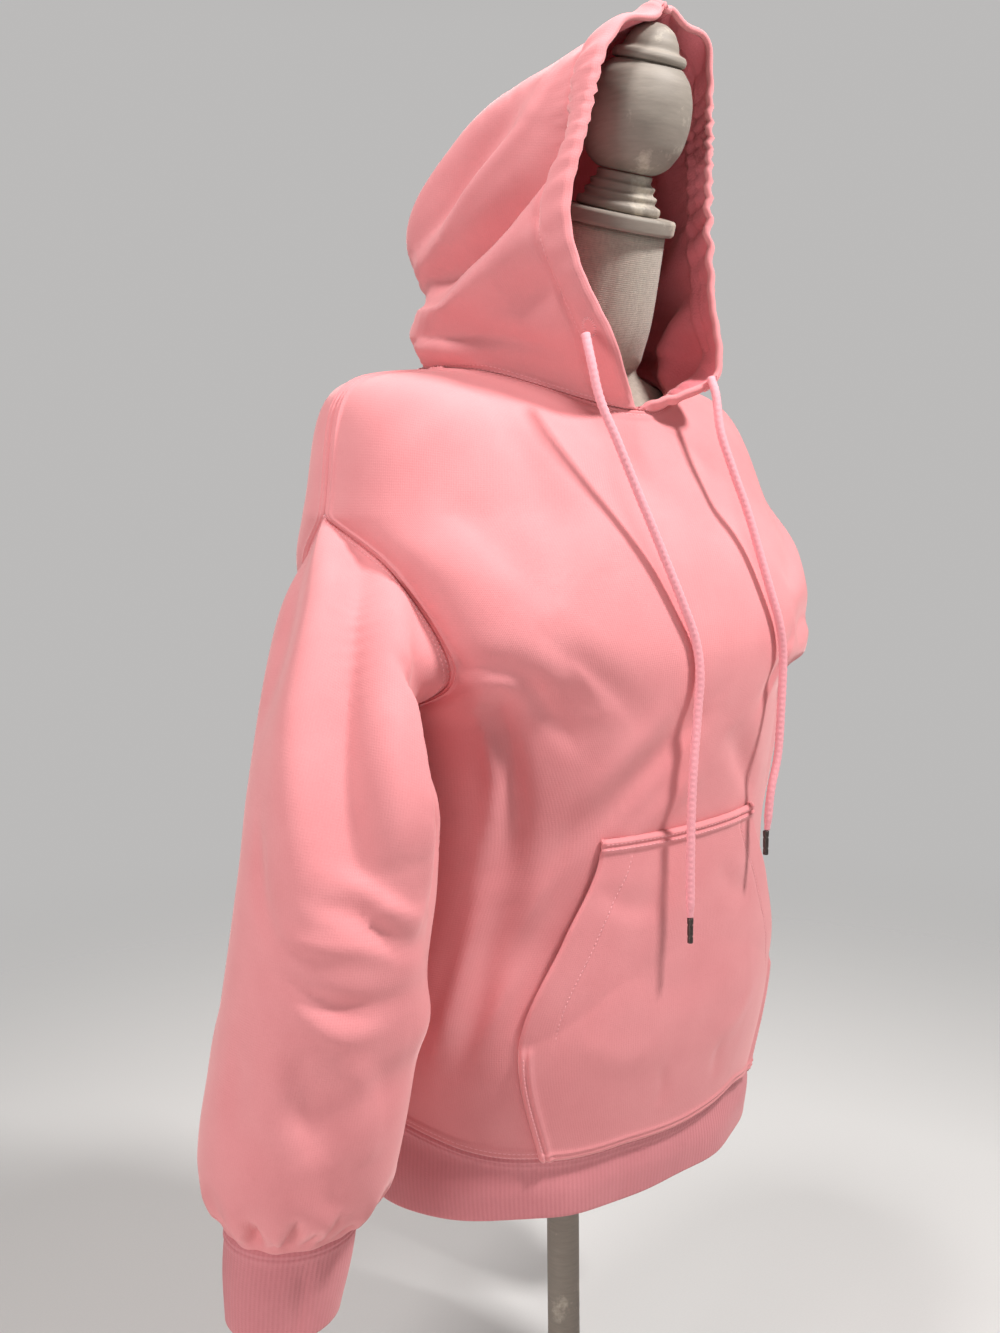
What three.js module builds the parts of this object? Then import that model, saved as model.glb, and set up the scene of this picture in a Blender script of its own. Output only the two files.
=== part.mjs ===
// Pullover hoodie with its hood up, worn by a limbless dress form on a post and a round base.
// Millimetres, +Z up. The garment's front faces -Y and the wearer's right is -X.
// The origin is the centre of the base's underside.

import * as THREE from 'three';

// ---- driving sizes ----
const HEM_HEIGHT = 380; // lower edge of the hem band above the floor
const CLOTH = 2.4; // brushed fleece
const RIB = 2.8; // folded rib knit
const CHANNEL = 5.2; // hood edge, turned back over the cord
const SEAM_GAP = 0.45;
const HALF_GAP = SEAM_GAP / 2;
const MOUTH_EASE = 9; // how far the pocket stands off the front inside its hand openings
const CORD_DIAMETER = 6.5;
const CORD_SIDES = 8;
const HALF_COLUMNS = 10; // grid columns from a side seam to the centre
const POCKET_COLUMN = 5; // the grid column that the pocket's side edge follows
const STEPS = [2, 2, 2, 3, 4, 4, 4, 2, 3]; // grid rows between the rows of the body tables
const UNDERARM = 4; // row of the body tables where the armhole starts
const SHOULDER = 7; // row where it ends
const POCKET_TOP = 3;

const FLEECE = { color: 0xf7a1a8, roughness: 0.95, metalness: 0 };
const RIB_KNIT = { color: 0xe8909a, roughness: 0.95, metalness: 0 };
const CORD_KNIT = { color: 0xf9aab4, roughness: 0.85, metalness: 0 };
const AGLET_METAL = { color: 0x4a3d3c, roughness: 0.35, metalness: 0.8 };
const FORM_COVER = { color: 0xa5968e, roughness: 0.9, metalness: 0 };
const PAINTED_WOOD = { color: 0x968e87, roughness: 0.6, metalness: 0 };

// ---- tables: heights are above the hem band's lower edge ----
// The shared edge of the front and back: side seam, then shoulder seam.
const BODY_EDGE = [
  { row: 'hem seam', x: 196, y: 2, z: 62 },
  { row: 'pocket low', x: 203, y: 2, z: 150 },
  { row: 'waist', x: 193, y: 2, z: 230 },
  { row: 'pocket top', x: 190, y: 0, z: 305 },
  { row: 'underarm', x: 193, y: -10, z: 393 },
  { row: 'armhole low', x: 193, y: -10, z: 440 },
  { row: 'armhole high', x: 207, y: 5, z: 500 },
  { row: 'shoulder point', x: 216, y: 22, z: 545 },
  { row: 'shoulder end', x: 183, y: 38, z: 639 },
  { row: 'neck', x: 98, y: 26, z: 657 },
];
// The front's own armhole edge, its centre line, and how square its section is.
const FRONT_ROWS = [
  { centreY: -134, centreZ: 62, square: 2.1 },
  { centreY: -146, centreZ: 150, square: 2.25 },
  { centreY: -146, centreZ: 230, square: 2.15 },
  { centreY: -152, centreZ: 304, square: 2.15 },
  { centreY: -164, centreZ: 385, square: 2.35 },
  { edgeX: 188, edgeY: -92, edgeZ: 432, centreY: -167, centreZ: 440, square: 2.5 },
  { edgeX: 204, edgeY: -50, edgeZ: 503, centreY: -152, centreZ: 500, square: 2.6 },
  { centreY: -130, centreZ: 550, square: 2.4 },
  { centreY: -109, centreZ: 592, square: 2.3 },
  { centreY: -92, centreZ: 622, square: 2 },
];
const BACK_ROWS = [
  { centreY: 123, centreZ: 62, square: 2.2 },
  { centreY: 130, centreZ: 150, square: 2.3 },
  { centreY: 120, centreZ: 230, square: 2.3 },
  { centreY: 118, centreZ: 308, square: 2.3 },
  { centreY: 124, centreZ: 393, square: 2.4 },
  { edgeX: 196, edgeY: 62, edgeZ: 440, centreY: 130, centreZ: 445, square: 2.6 },
  { edgeX: 208, edgeY: 60, edgeZ: 505, centreY: 134, centreZ: 505, square: 2.6 },
  { centreY: 134, centreZ: 560, square: 2.5 },
  { centreY: 128, centreZ: 630, square: 2.4 },
  { centreY: 108, centreZ: 672, square: 2 },
];
// Where the pocket's side edge runs, as a share of the way from the side seam to the centre.
const POCKET_EDGE = [0.58, 0.52, 0.62, 0.72, 0.62, 0.56, 0.52, 0.5, 0.5, 0.5];

// Soft folds on the body panels, as ridges (+) and troughs (-) from one grid place to another.
// u runs from the right side seam (0) to the left (1) and v from the hem (0) to the neck (1).
const FRONT_FOLDS = [
  { u0: 0.12, v0: 0.38, u1: 0.3, v1: 0.44, width: 0.09, height: -8 },
  { u0: 0.88, v0: 0.38, u1: 0.7, v1: 0.44, width: 0.09, height: -7 },
  { u0: 0.12, v0: 0.05, u1: 0.1, v1: 0.32, width: 0.06, height: 6 },
  { u0: 0.88, v0: 0.06, u1: 0.9, v1: 0.32, width: 0.06, height: 5 },
];
const BACK_FOLDS = [
  { u0: 0.14, v0: 0.38, u1: 0.34, v1: 0.48, width: 0.08, height: -7 },
  { u0: 0.86, v0: 0.38, u1: 0.66, v1: 0.48, width: 0.08, height: -7 },
  { u0: 0.3, v0: 0.06, u1: 0.34, v1: 0.3, width: 0.07, height: 6 },
  { u0: 0.7, v0: 0.08, u1: 0.66, v1: 0.28, width: 0.07, height: 5 },
];

// Sleeve rings from just below the armhole to the cuff seam. across is half the width towards the
// outside, deep half the depth, tilt how far the ring's outer side is turned up, in degrees.
const RIGHT_SLEEVE = [
  { x: 232, y: -22, z: 440, across: 55, deep: 76, tilt: 58 },
  { x: 256, y: -54, z: 366, across: 60, deep: 82, tilt: 26 },
  { x: 271, y: -64, z: 290, across: 63, deep: 82, tilt: 8 },
  { x: 285, y: -58, z: 195, across: 66, deep: 82, tilt: 0 },
  { x: 296, y: -46, z: 112, across: 68, deep: 82, tilt: 0 },
  { x: 299, y: -40, z: 72, across: 64, deep: 74, tilt: 0 },
];
const LEFT_SLEEVE = [
  { x: 232, y: 8, z: 440, across: 54, deep: 74, tilt: 58 },
  { x: 252, y: 50, z: 366, across: 57, deep: 76, tilt: 26 },
  { x: 254, y: 84, z: 290, across: 58, deep: 76, tilt: 8 },
  { x: 256, y: 98, z: 190, across: 60, deep: 78, tilt: 0 },
  { x: 257, y: 102, z: 112, across: 64, deep: 80, tilt: 0 },
  { x: 257, y: 102, z: 72, across: 60, deep: 71, tilt: 0 },
];
const SLEEVE_STEPS = 2;
const CUFF_GATHERS = 4; // height of the gathers above the cuff seam
const GATHER_PLACE = 0.93; // where they are highest, along the sleeve
const GATHER_REACH = 0.16;
const RIGHT_CUFF = [
  { x: 300, y: -36, z: 42, across: 48, deep: 48, tilt: 0 },
  { x: 304, y: -34, z: 8, across: 47, deep: 46, tilt: 0 },
  { x: 308, y: -32, z: -28, across: 42, deep: 43, tilt: 0 },
];
const LEFT_CUFF = [
  { x: 257, y: 102, z: 42, across: 45, deep: 49, tilt: 0 },
  { x: 257, y: 102, z: 8, across: 44, deep: 47, tilt: 0 },
  { x: 257, y: 102, z: -28, across: 40, deep: 44, tilt: 0 },
];
// Folds on a sleeve. around is in turns: 0 outside, 0.25 front, 0.5 inside, 0.75 back.
// along runs from the armhole (0) to the cuff seam (1).
const SLEEVE_FOLDS = [
  { u0: 0.3, v0: 0.14, u1: 0.37, v1: 0.5, width: 0.05, height: -9 },
  { u0: 0.42, v0: 0.16, u1: 0.44, v1: 0.5, width: 0.04, height: 6 },
  { u0: 0.3, v0: 0.57, u1: 0.46, v1: 0.55, width: 0.035, height: 6 },
  { u0: 0.12, v0: 0.62, u1: 0.34, v1: 0.6, width: 0.03, height: -5 },
  { u0: 0.17, v0: 0.68, u1: 0.24, v1: 0.84, width: 0.04, height: -6 },
  { u0: 0.62, v0: 0.3, u1: 0.8, v1: 0.45, width: 0.05, height: -7 },
  { u0: 0.66, v0: 0.6, u1: 0.86, v1: 0.64, width: 0.04, height: -6 },
];

// Hood rows from the neck seam (row 0) to the crown seam. back is the centre seam, side the widest
// place, and the front edge is given for the right half and the left, whose corner is turned out.
const HOOD_ROWS = [
  { backY: 108, backZ: 672, side: 98, right: [0, -92, 622], left: [0, -92, 622] },
  { backY: 126, backZ: 698, side: 107, right: [-42, -107, 643], left: [38, -116, 633] },
  { backY: 111, backZ: 722, side: 101, right: [-75, -114, 672], left: [66, -122, 653] },
  { backY: 127, backZ: 752, side: 106, right: [-91, -113, 723], left: [67, -113, 716] },
  { backY: 121, backZ: 788, side: 98, right: [-90, -112, 766], left: [64, -112, 777] },
  { backY: 104, backZ: 824, side: 82, right: [-77, -116, 820], left: [62, -114, 842] },
  { backY: 89, backZ: 848, side: 57, right: [-54, -119, 884], left: [53, -118, 897] },
  { backY: 74, backZ: 859, side: 0, right: [0, -121, 914], left: [0, -121, 914] },
];
const CORNER_WIDTH = 0.8; // how wide the hood is at its back corners, as a share of its side
const HOOD_STEPS = 2;
const CHANNEL_COLUMNS = 2;
const PUCKER = 1.4; // height of the channel's puckers
const HOOD_FOLDS = [
  { u0: 0.2, v0: 0.33, u1: 0.72, v1: 0.52, width: 0.09, height: -6 },
  { u0: 0.3, v0: 0.64, u1: 0.66, v1: 0.74, width: 0.09, height: -3 },
];
const HEM_BAND = [
  { share: 1, drop: 0 },
  { share: 0.985, drop: 14 },
  { share: 0.995, drop: 36 },
  { share: 0.98, drop: 62 },
];

// Drawcords: the middle line from the buttonhole in the hood's channel to the cord's end.
const RIGHT_CORD = [
  [-77.7, -116.1, 672.7], [-80, -124, 654], [-78, -131, 626], [-70, -140, 597],
  [-60, -147, 567], [-50, -154, 538], [-40, -160, 510], [-29, -167, 478],
  [-19, -171, 450], [-16, -173, 425], [-17, -172, 397], [-22, -172, 348],
  [-24, -172, 298], [-24, -172, 238],
];
const LEFT_CORD = [
  [50.5, -123.3, 646], [48, -131, 632], [47, -137, 604], [54, -144, 574],
  [63, -151, 543], [70, -157, 513], [77, -163, 482], [85, -167, 453],
  [90, -167, 426], [90, -166, 388], [88, -165, 348], [81, -164, 318],
  [78, -163, 286],
];
const AGLET_LENGTH = 20;
const AGLET_RADIUS = 3.4;

// Dress form: horizontal sections from the hip to the top of the covered neck.
const NECK_LEAN = THREE.MathUtils.degToRad(18); // forward lean of the neck plate and the finial
const PLATE_CENTRE = new THREE.Vector3(0, -69, 769);
const PLATE = { radius: 47, thickness: 12 };
const NECK_AXIS = new THREE.Vector3(0, -Math.sin(NECK_LEAN), Math.cos(NECK_LEAN));
const NECK_TOP = PLATE_CENTRE.clone().addScaledVector(NECK_AXIS, -PLATE.thickness / 2 - SEAM_GAP);
const TORSO_SECTIONS = [
  { z: 34, x: 150, front: -96, back: 88, lean: 0 },
  { z: 130, x: 168, front: -106, back: 104, lean: 0 },
  { z: 230, x: 136, front: -88, back: 78, lean: 0 },
  { z: 330, x: 146, front: -112, back: 84, lean: 0 },
  { z: 430, x: 158, front: -150, back: 96, lean: 0 },
  { z: 500, x: 164, front: -134, back: 108, lean: 0 },
  { z: 560, x: 168, front: -104, back: 112, lean: 0 },
  { z: 606, x: 168, front: -80, back: 112, lean: 0 },
  { z: 636.3, x: 134, front: -64, back: 104, lean: 0 },
  { z: 653.4, x: 76, front: -62, back: 76, lean: 0 },
  { z: 668, x: 52, front: -77, back: 24, lean: 0.08 },
  { z: 700, x: 43, front: -93, back: -7, lean: 0.2 },
  { z: NECK_TOP.z, x: 41, front: NECK_TOP.y - 41, back: NECK_TOP.y + 41, lean: NECK_LEAN },
];
const TORSO_SIDES = 24;
const TORSO_STEPS = 2;
const TURNING_PROFILE = [[33, 0], [33, 6], [27, 8], [29, 13], [24, 15], [26, 20], [21, 22], [22, 28]];
const URN_PROFILE = [[22, 0], [32, 7], [39, 20], [41.5, 38], [39.5, 55], [34.5, 68], [27, 76], [22, 77]];
const BEAD_PROFILE = [[28, 78], [28.5, 84], [22, 88], [19, 95], [14, 101], [7.5, 104.9]];
const FINIAL_SIDES = 20;
const POST = { radius: 16, top: HEM_HEIGHT + TORSO_SECTIONS[0].z };
const BASE = { radius: 170, thickness: 24 };

// ---- curves and grids ----
/** Uniform Catmull-Rom through the values, at a place given in steps from the first. */
function through(values, place) {
  const last = values.length - 1;
  const i = Math.min(Math.floor(place), last - 1);
  const t = place - i;
  const b = values[i];
  const c = values[i + 1];
  const a = i > 0 ? values[i - 1] : 2 * b - c;
  const d = i + 2 <= last ? values[i + 2] : 2 * c - b;
  const slope = (c - a) / 2;
  const nextSlope = (d - b) / 2;
  const bend = 3 * (c - b) - 2 * slope - nextSlope;
  const twist = 2 * (b - c) + slope + nextSlope;
  return b + slope * t + bend * t * t + twist * t * t * t;
}

/** The same, but with a corner at the underarm and at the shoulder point. */
function throughCorners(values, place) {
  const start = place < UNDERARM ? 0 : place < SHOULDER ? UNDERARM : SHOULDER;
  const end = place < UNDERARM ? UNDERARM : place < SHOULDER ? SHOULDER : values.length - 1;
  return through(values.slice(start, end + 1), place - start);
}

/** Places, in table rows, of the grid rows: steps[i] of them between rows i and i + 1. */
function placesOf(steps) {
  const places = [0];
  steps.forEach((count, row) => {
    for (let k = 1; k <= count; k += 1) places.push(row + k / count);
  });
  return places;
}

/** How far a set of soft folds lifts the cloth at (u, v). turns wraps u round a tube. */
function foldHeight(folds, u, v, turns = false) {
  let height = 0;
  for (const fold of folds) {
    const du = fold.u1 - fold.u0;
    const dv = fold.v1 - fold.v0;
    let fromU = u - fold.u0;
    if (turns) fromU -= Math.round(fromU - du / 2);
    const along = (fromU * du + (v - fold.v0) * dv) / (du * du + dv * dv);
    const near = Math.min(1, Math.max(0, along));
    const away = Math.hypot(fromU - near * du, v - fold.v0 - near * dv) / fold.width;
    const taper = 0.35 + 0.65 * Math.sin(Math.PI * near);
    height += fold.height * taper * Math.exp(-away * away);
  }
  return height;
}

/**
 * Moves the inner points of a grid along its surface's normal by amount(u, v).
 * wraps is for a tube, turned for a grid whose own normal points inward.
 */
function lift(grid, amount, { wraps = false, turned = false } = {}) {
  const rows = grid.length;
  const columns = grid[0].length;
  const moved = grid.map((row) => row.map((point) => point.clone()));
  for (let i = 1; i < rows - 1; i += 1) {
    for (let j = wraps ? 0 : 1; j < (wraps ? columns : columns - 1); j += 1) {
      const left = grid[i][(j + columns - 1) % columns];
      const right = grid[i][(j + 1) % columns];
      const along = grid[i + 1][j].clone().sub(grid[i - 1][j]);
      const normal = right.clone().sub(left).cross(along).normalize();
      const u = j / (wraps ? columns : columns - 1);
      moved[i][j].addScaledVector(normal, (turned ? -1 : 1) * amount(u, i / (rows - 1)));
    }
  }
  return moved;
}

// ---- seams: every panel's edge shares its normal and its mitre with its neighbours ----
const keyOf = (point) => [point.x, point.y, point.z].map((n) => Math.round(n * 50)).join();

/** The outward normal of each corner of a grid, from the faces round it. */
function cornerNormals(grid, wraps, turned) {
  const columns = grid[0].length;
  const spans = wraps ? columns : columns - 1;
  const sums = grid.map((row) => row.map(() => new THREE.Vector3()));
  for (let i = 0; i < grid.length - 1; i += 1) {
    for (let j = 0; j < spans; j += 1) {
      const k = (j + 1) % columns;
      const rising = grid[i + 1][k].clone().sub(grid[i][j]);
      const falling = grid[i + 1][j].clone().sub(grid[i][k]);
      const normal = rising.cross(falling).multiplyScalar(turned ? -1 : 1);
      for (const [row, column] of [[i, j], [i, k], [i + 1, j], [i + 1, k]]) {
        sums[row][column].add(normal);
      }
    }
  }
  return sums;
}

/** The direction from each edge point of a grid into the panel, square to the edge. */
function waysIn(grid, wraps) {
  const lastRow = grid.length - 1;
  const lastColumn = grid[0].length - 1;
  const columns = lastColumn + 1;
  return grid.map((row, i) => row.map((point, j) => {
    const endRow = i === 0 || i === lastRow;
    const endColumn = !wraps && (j === 0 || j === lastColumn);
    if (!endRow && !endColumn) return new THREE.Vector3();
    const inRow = endRow ? Math.abs(i - 1) : i;
    const inColumn = endColumn ? Math.abs(j - 1) : j;
    const way = grid[inRow][inColumn].clone().sub(point).normalize();
    if (endRow && endColumn) return way;
    const ahead = endRow ? row[(j + 1) % columns] : grid[i + 1][j];
    const behind = endRow ? row[(j + columns - 1) % columns] : grid[i - 1][j];
    const tangent = ahead.clone().sub(behind).normalize();
    return way.addScaledVector(tangent, -way.dot(tangent)).normalize();
  }));
}

class Panel {
  /** A cloth panel from its outer grid. wraps closes it into a tube, turned flips its normal. */
  constructor(name, grid, { wraps = false, turned = false, wall = () => CLOTH, finish = FLEECE } = {}) {
    Object.assign(this, { name, grid, wraps, wall, finish });
    this.normals = cornerNormals(grid, wraps, turned);
    this.ways = waysIn(grid, wraps);
  }
}

/** Gives all panels the same normal where they share a point, and parts them by the seam's gap. */
function joinSeams(panels) {
  const places = new Map();
  for (const panel of panels) {
    panel.grid.forEach((row, i) => row.forEach((point, j) => {
      if (panel.ways[i][j].lengthSq() === 0) return;
      const key = keyOf(point);
      if (!places.has(key)) places.set(key, []);
      places.get(key).push({ panel, i, j });
    }));
  }
  for (const corners of places.values()) {
    const total = new THREE.Vector3();
    corners.forEach(({ panel, i, j }) => total.add(panel.normals[i][j].clone().normalize()));
    total.normalize();
    const ways = corners.map(({ panel, i, j }) => panel.ways[i][j].clone());
    corners.forEach(({ panel, i, j }, own) => {
      panel.normals[i][j].copy(total);
      const way = ways[own].clone();
      const others = ways.filter((_, other) => corners[other].panel !== panel);
      others.forEach((other) => way.addScaledVector(other, -1 / others.length));
      panel.ways[i][j].copy(way.addScaledVector(total, -way.dot(total)));
    });
  }
}

/** The outer and inner grids of a panel, its edges drawn in by half the seam's gap. */
function wallGrids({ grid, ways, normals, wall }) {
  const outer = grid.map((row, i) => row.map((point, j) => (
    point.clone().addScaledVector(ways[i][j].clone().normalize(), HALF_GAP)
  )));
  const inner = outer.map((row, i) => row.map((point, j) => {
    const thickness = wall(j / (row.length - 1), i);
    return point.clone().addScaledVector(normals[i][j].clone().normalize(), -thickness);
  }));
  return [outer, inner];
}

const RIM_ORDER = new THREE.Vector3(1, 0.7, 0.4);

/** A closed wall from its outer and inner grids, with rims between their edges. */
function wallGeometry([outer, inner], wraps = false) {
  const rows = outer.length;
  const columns = outer[0].length;
  const spans = wraps ? columns : columns - 1;
  const points = [...outer.flat(), ...inner.flat()];
  const inside = rows * columns;
  const faces = [];
  const at = (i, j) => i * columns + (j % columns);
  const quad = (a, b, c, d) => faces.push(a, b, c, a, c, d);
  const order = (k) => points[k].dot(RIM_ORDER);
  // facing rims of two panels are split along the same diagonal, so that they stay parallel
  const rim = (a, b) => {
    if (order(a) < order(b)) quad(a, inside + a, inside + b, b);
    else quad(b, a, inside + a, inside + b);
  };
  for (let i = 0; i < rows - 1; i += 1) {
    for (let j = 0; j < spans; j += 1) {
      const [a, b, c, d] = [at(i, j), at(i, j + 1), at(i + 1, j + 1), at(i + 1, j)];
      quad(b, c, d, a);
      quad(inside + b, inside + a, inside + d, inside + c);
    }
  }
  for (let j = 0; j < spans; j += 1) {
    rim(at(0, j), at(0, j + 1));
    rim(at(rows - 1, j + 1), at(rows - 1, j));
  }
  for (let i = 0; !wraps && i < rows - 1; i += 1) {
    rim(at(i + 1, 0), at(i, 0));
    rim(at(i, spans), at(i + 1, spans));
  }
  return solidGeometry(points, faces);
}

/** A geometry from points and triangles, turned so that its faces point out. */
function solidGeometry(points, faces) {
  let volume = 0;
  for (let k = 0; k < faces.length; k += 3) {
    const [a, b, c] = [points[faces[k]], points[faces[k + 1]], points[faces[k + 2]]];
    volume += a.dot(b.clone().cross(c));
  }
  const turned = volume > 0 ? faces : faces.slice().reverse();
  const geometry = new THREE.BufferGeometry();
  geometry.setAttribute('position', new THREE.Float32BufferAttribute(points.flatMap((p) => p.toArray()), 3));
  geometry.setIndex(turned);
  geometry.computeVertexNormals();
  return geometry;
}

function named(name, geometry, finish) {
  const mesh = new THREE.Mesh(geometry, new THREE.MeshStandardMaterial(finish));
  mesh.name = name;
  return mesh;
}

// ---- body panels ----
/** The share of the way from the side edge to the centre at which a grid column lies. */
function columnShare(column, place) {
  const pocketEdge = through(POCKET_EDGE, place);
  if (column <= POCKET_COLUMN) return (column / POCKET_COLUMN) * pocketEdge;
  const inside = (column - POCKET_COLUMN) / (HALF_COLUMNS - POCKET_COLUMN);
  return pocketEdge + inside * (1 - pocketEdge);
}

/** A point of the front or back: side is -1 right or +1 left, share 0 at the edge, 1 at the centre. */
function bodyPoint(rows, side, share, place) {
  const pick = (own, common) => rows.map((row, i) => row[own] ?? BODY_EDGE[i][common]);
  const edgeX = throughCorners(pick('edgeX', 'x'), place);
  const edgeY = throughCorners(pick('edgeY', 'y'), place);
  const edgeZ = throughCorners(pick('edgeZ', 'z'), place);
  const centreY = through(rows.map((row) => row.centreY), place);
  const centreZ = through(rows.map((row) => row.centreZ), place);
  const power = 2 / through(rows.map((row) => row.square), place);
  const angle = (share * Math.PI) / 2;
  const across = share < 1 ? Math.cos(angle) ** power : 0;
  const forward = Math.sin(angle) ** power;
  return new THREE.Vector3(
    side * edgeX * across,
    edgeY + (centreY - edgeY) * forward,
    edgeZ + (centreZ - edgeZ) * Math.sin(angle) ** 2,
  );
}

/** The outer grid of the front or back, from the hem seam up to the shoulder seams and the neck. */
function bodyGrid(rows, firstSide, folds, shareOf) {
  const grid = placesOf(STEPS).map((place) => {
    const row = [];
    for (let j = 0; j <= 2 * HALF_COLUMNS; j += 1) {
      const side = j < HALF_COLUMNS ? firstSide : -firstSide;
      const column = j <= HALF_COLUMNS ? j : 2 * HALF_COLUMNS - j;
      row.push(bodyPoint(rows, side, shareOf(column, place), place));
    }
    return row;
  });
  return lift(grid, (u, v) => foldHeight(folds, u, v) * Math.min(1, 8 * u, 8 * (1 - u), 10 * v));
}

const placeIndex = (row) => STEPS.slice(0, row).reduce((sum, count) => sum + count, 0);

// ---- tubes: sleeves, cuffs and the hem band ----
/** The points of a ring: turn 0 is outside, a quarter is the front. */
function ringPoints(ring, side, count) {
  const tilt = THREE.MathUtils.degToRad(ring.tilt);
  const points = [];
  for (let k = 0; k < count; k += 1) {
    const turn = (2 * Math.PI * k) / count;
    const out = ring.across * Math.cos(turn);
    points.push(new THREE.Vector3(
      side * (ring.x + out * Math.cos(tilt)),
      ring.y - ring.deep * Math.sin(turn),
      ring.z + out * Math.sin(tilt),
    ));
  }
  return points;
}

/** Splines the rings' matching points together, with steps grid rows from each ring to the next. */
function tubeGrid(rings, steps) {
  const grid = [];
  for (let i = 0; i <= (rings.length - 1) * steps; i += 1) {
    const place = i / steps;
    grid.push(rings[0].map((_, k) => new THREE.Vector3(
      through(rings.map((ring) => ring[k].x), place),
      through(rings.map((ring) => ring[k].y), place),
      through(rings.map((ring) => ring[k].z), place),
    )));
  }
  return grid;
}

/** The armhole: from the shoulder point down the front edge, under the arm and up the back. */
function armhole(front, back, side) {
  const last = front[0].length - 1;
  const frontColumn = side < 0 ? 0 : last;
  const low = placeIndex(UNDERARM);
  const high = placeIndex(SHOULDER);
  const ring = [];
  for (let i = high; i > low; i -= 1) ring.push(front[i][frontColumn]);
  for (let i = low; i < high; i += 1) ring.push(back[i][last - frontColumn]);
  return ring;
}

function sleeveGrid(hole, table, cuffRing, side) {
  const rings = [...table, cuffRing].map((ring) => ringPoints(ring, side, hole.length));
  const grid = tubeGrid([hole, ...rings], SLEEVE_STEPS);
  return lift(grid, (around, along) => {
    const fade = Math.min(1, 9 * along) * Math.min(1, 8 * (1 - along));
    const nearCuff = Math.max(0, 1 - Math.abs(along - GATHER_PLACE) / GATHER_REACH);
    const wave = Math.round(around * hole.length) % 2 ? 1 : -1;
    return foldHeight(SLEEVE_FOLDS, around, along, true) * fade + CUFF_GATHERS * wave * nearCuff;
  }, { wraps: true, turned: side < 0 });
}

function cuffGrid(sleeve, table, side) {
  const rings = table.map((ring) => ringPoints(ring, side, sleeve[0].length));
  return tubeGrid([sleeve[sleeve.length - 1], ...rings.slice(1)], 2);
}

/** The hem band hangs from the body's lower edge. */
function hemGrid(front, back) {
  const seam = [...front[0].slice(0, -1), ...back[0].slice(0, -1)];
  return HEM_BAND.map(({ share, drop }) => seam.map((point) => (
    new THREE.Vector3(point.x * share, point.y * share, point.z - drop)
  ))).reverse();
}

// ---- hood ----
/** One half of the hood, from the centre seam round to the front edge. side is -1 right, +1 left. */
function hoodGrid(neckRow, side) {
  const columns = neckRow.length - 1;
  const edge = side < 0 ? 'right' : 'left';
  const controls = HOOD_ROWS.map((row) => {
    const [frontX, frontY, frontZ] = row[edge];
    const back = new THREE.Vector3(0, row.backY, row.backZ);
    const front = new THREE.Vector3(frontX, frontY, frontZ);
    const flank = back.clone().lerp(front, 0.5).setX(side * row.side);
    const corner = back.clone().lerp(front, 0.17).setX(side * row.side * CORNER_WIDTH);
    const cheek = back.clone().lerp(front, 0.76).setX((side * row.side + frontX) / 2);
    return [back, corner, flank, cheek, front];
  });
  const grid = [];
  for (let i = 0; i <= (HOOD_ROWS.length - 1) * HOOD_STEPS; i += 1) {
    const row = [];
    for (let j = 0; j <= columns; j += 1) {
      const place = (4 * j) / columns;
      const line = controls.map((points, k) => (
        k === 0 ? neckRow[j] : new THREE.Vector3(
          through(points.map((point) => point.x), place),
          through(points.map((point) => point.y), place),
          through(points.map((point) => point.z), place),
        )
      ));
      row.push(new THREE.Vector3(
        through(line.map((point) => point.x), i / HOOD_STEPS),
        through(line.map((point) => point.y), i / HOOD_STEPS),
        through(line.map((point) => point.z), i / HOOD_STEPS),
      ));
    }
    grid.push(row);
  }
  const channel = 1 - CHANNEL_COLUMNS / columns;
  const rows = grid.length - 1;
  return lift(grid, (u, v) => {
    const fade = Math.min(1, 6 * v) * Math.min(1, 6 * (1 - v)) * Math.min(1, 6 * u);
    const pucker = u >= channel && Math.round(v * rows) % 2 ? PUCKER : 0;
    return foldHeight(HOOD_FOLDS, u, v) * fade + pucker;
  }, { turned: side > 0 });
}

// ---- pocket ----
/** The pocket lies on the front's own points, moved out, and stands off inside its hand openings. */
function pocketGeometry(front) {
  const top = placeIndex(POCKET_TOP);
  const wide = placeIndex(1);
  const [under] = wallGrids(front);
  const columns = front.grid[0].length - 2 * POCKET_COLUMN;
  const moved = (extra) => under.slice(0, top + 1).map((row, i) => (
    row.slice(POCKET_COLUMN, POCKET_COLUMN + columns).map((point, j) => {
      const fromSide = Math.min(j, columns - 1 - j) / ((columns - 1) / 2);
      const mouth = i <= wide ? 0 : Math.sin((Math.PI * (i - wide)) / (top - wide));
      const belly = 0.5 * Math.sin((Math.PI * i) / top) * Math.min(1, 2 * fromSide);
      const stand = MOUTH_EASE * Math.max(mouth * (1 - fromSide / 2), belly);
      const normal = front.normals[i][j + POCKET_COLUMN].clone().normalize();
      return point.clone().addScaledVector(normal, SEAM_GAP + stand + extra);
    })
  ));
  return wallGeometry([moved(CLOTH), moved(0)]);
}

// ---- drawcords ----
function circle(radius, sides) {
  const points = [];
  for (let k = 0; k < sides; k += 1) {
    const turn = (2 * Math.PI * k) / sides;
    points.push(new THREE.Vector2(radius * Math.cos(turn), radius * Math.sin(turn)));
  }
  return new THREE.Shape(points);
}

function cordGeometry(route) {
  const path = new THREE.CatmullRomCurve3(route.map((point) => new THREE.Vector3(...point)));
  const steps = Math.round(path.getLength() / (3 * CORD_DIAMETER));
  return new THREE.ExtrudeGeometry(circle(CORD_DIAMETER / 2, CORD_SIDES), {
    steps, bevelEnabled: false, extrudePath: path,
  });
}

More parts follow.
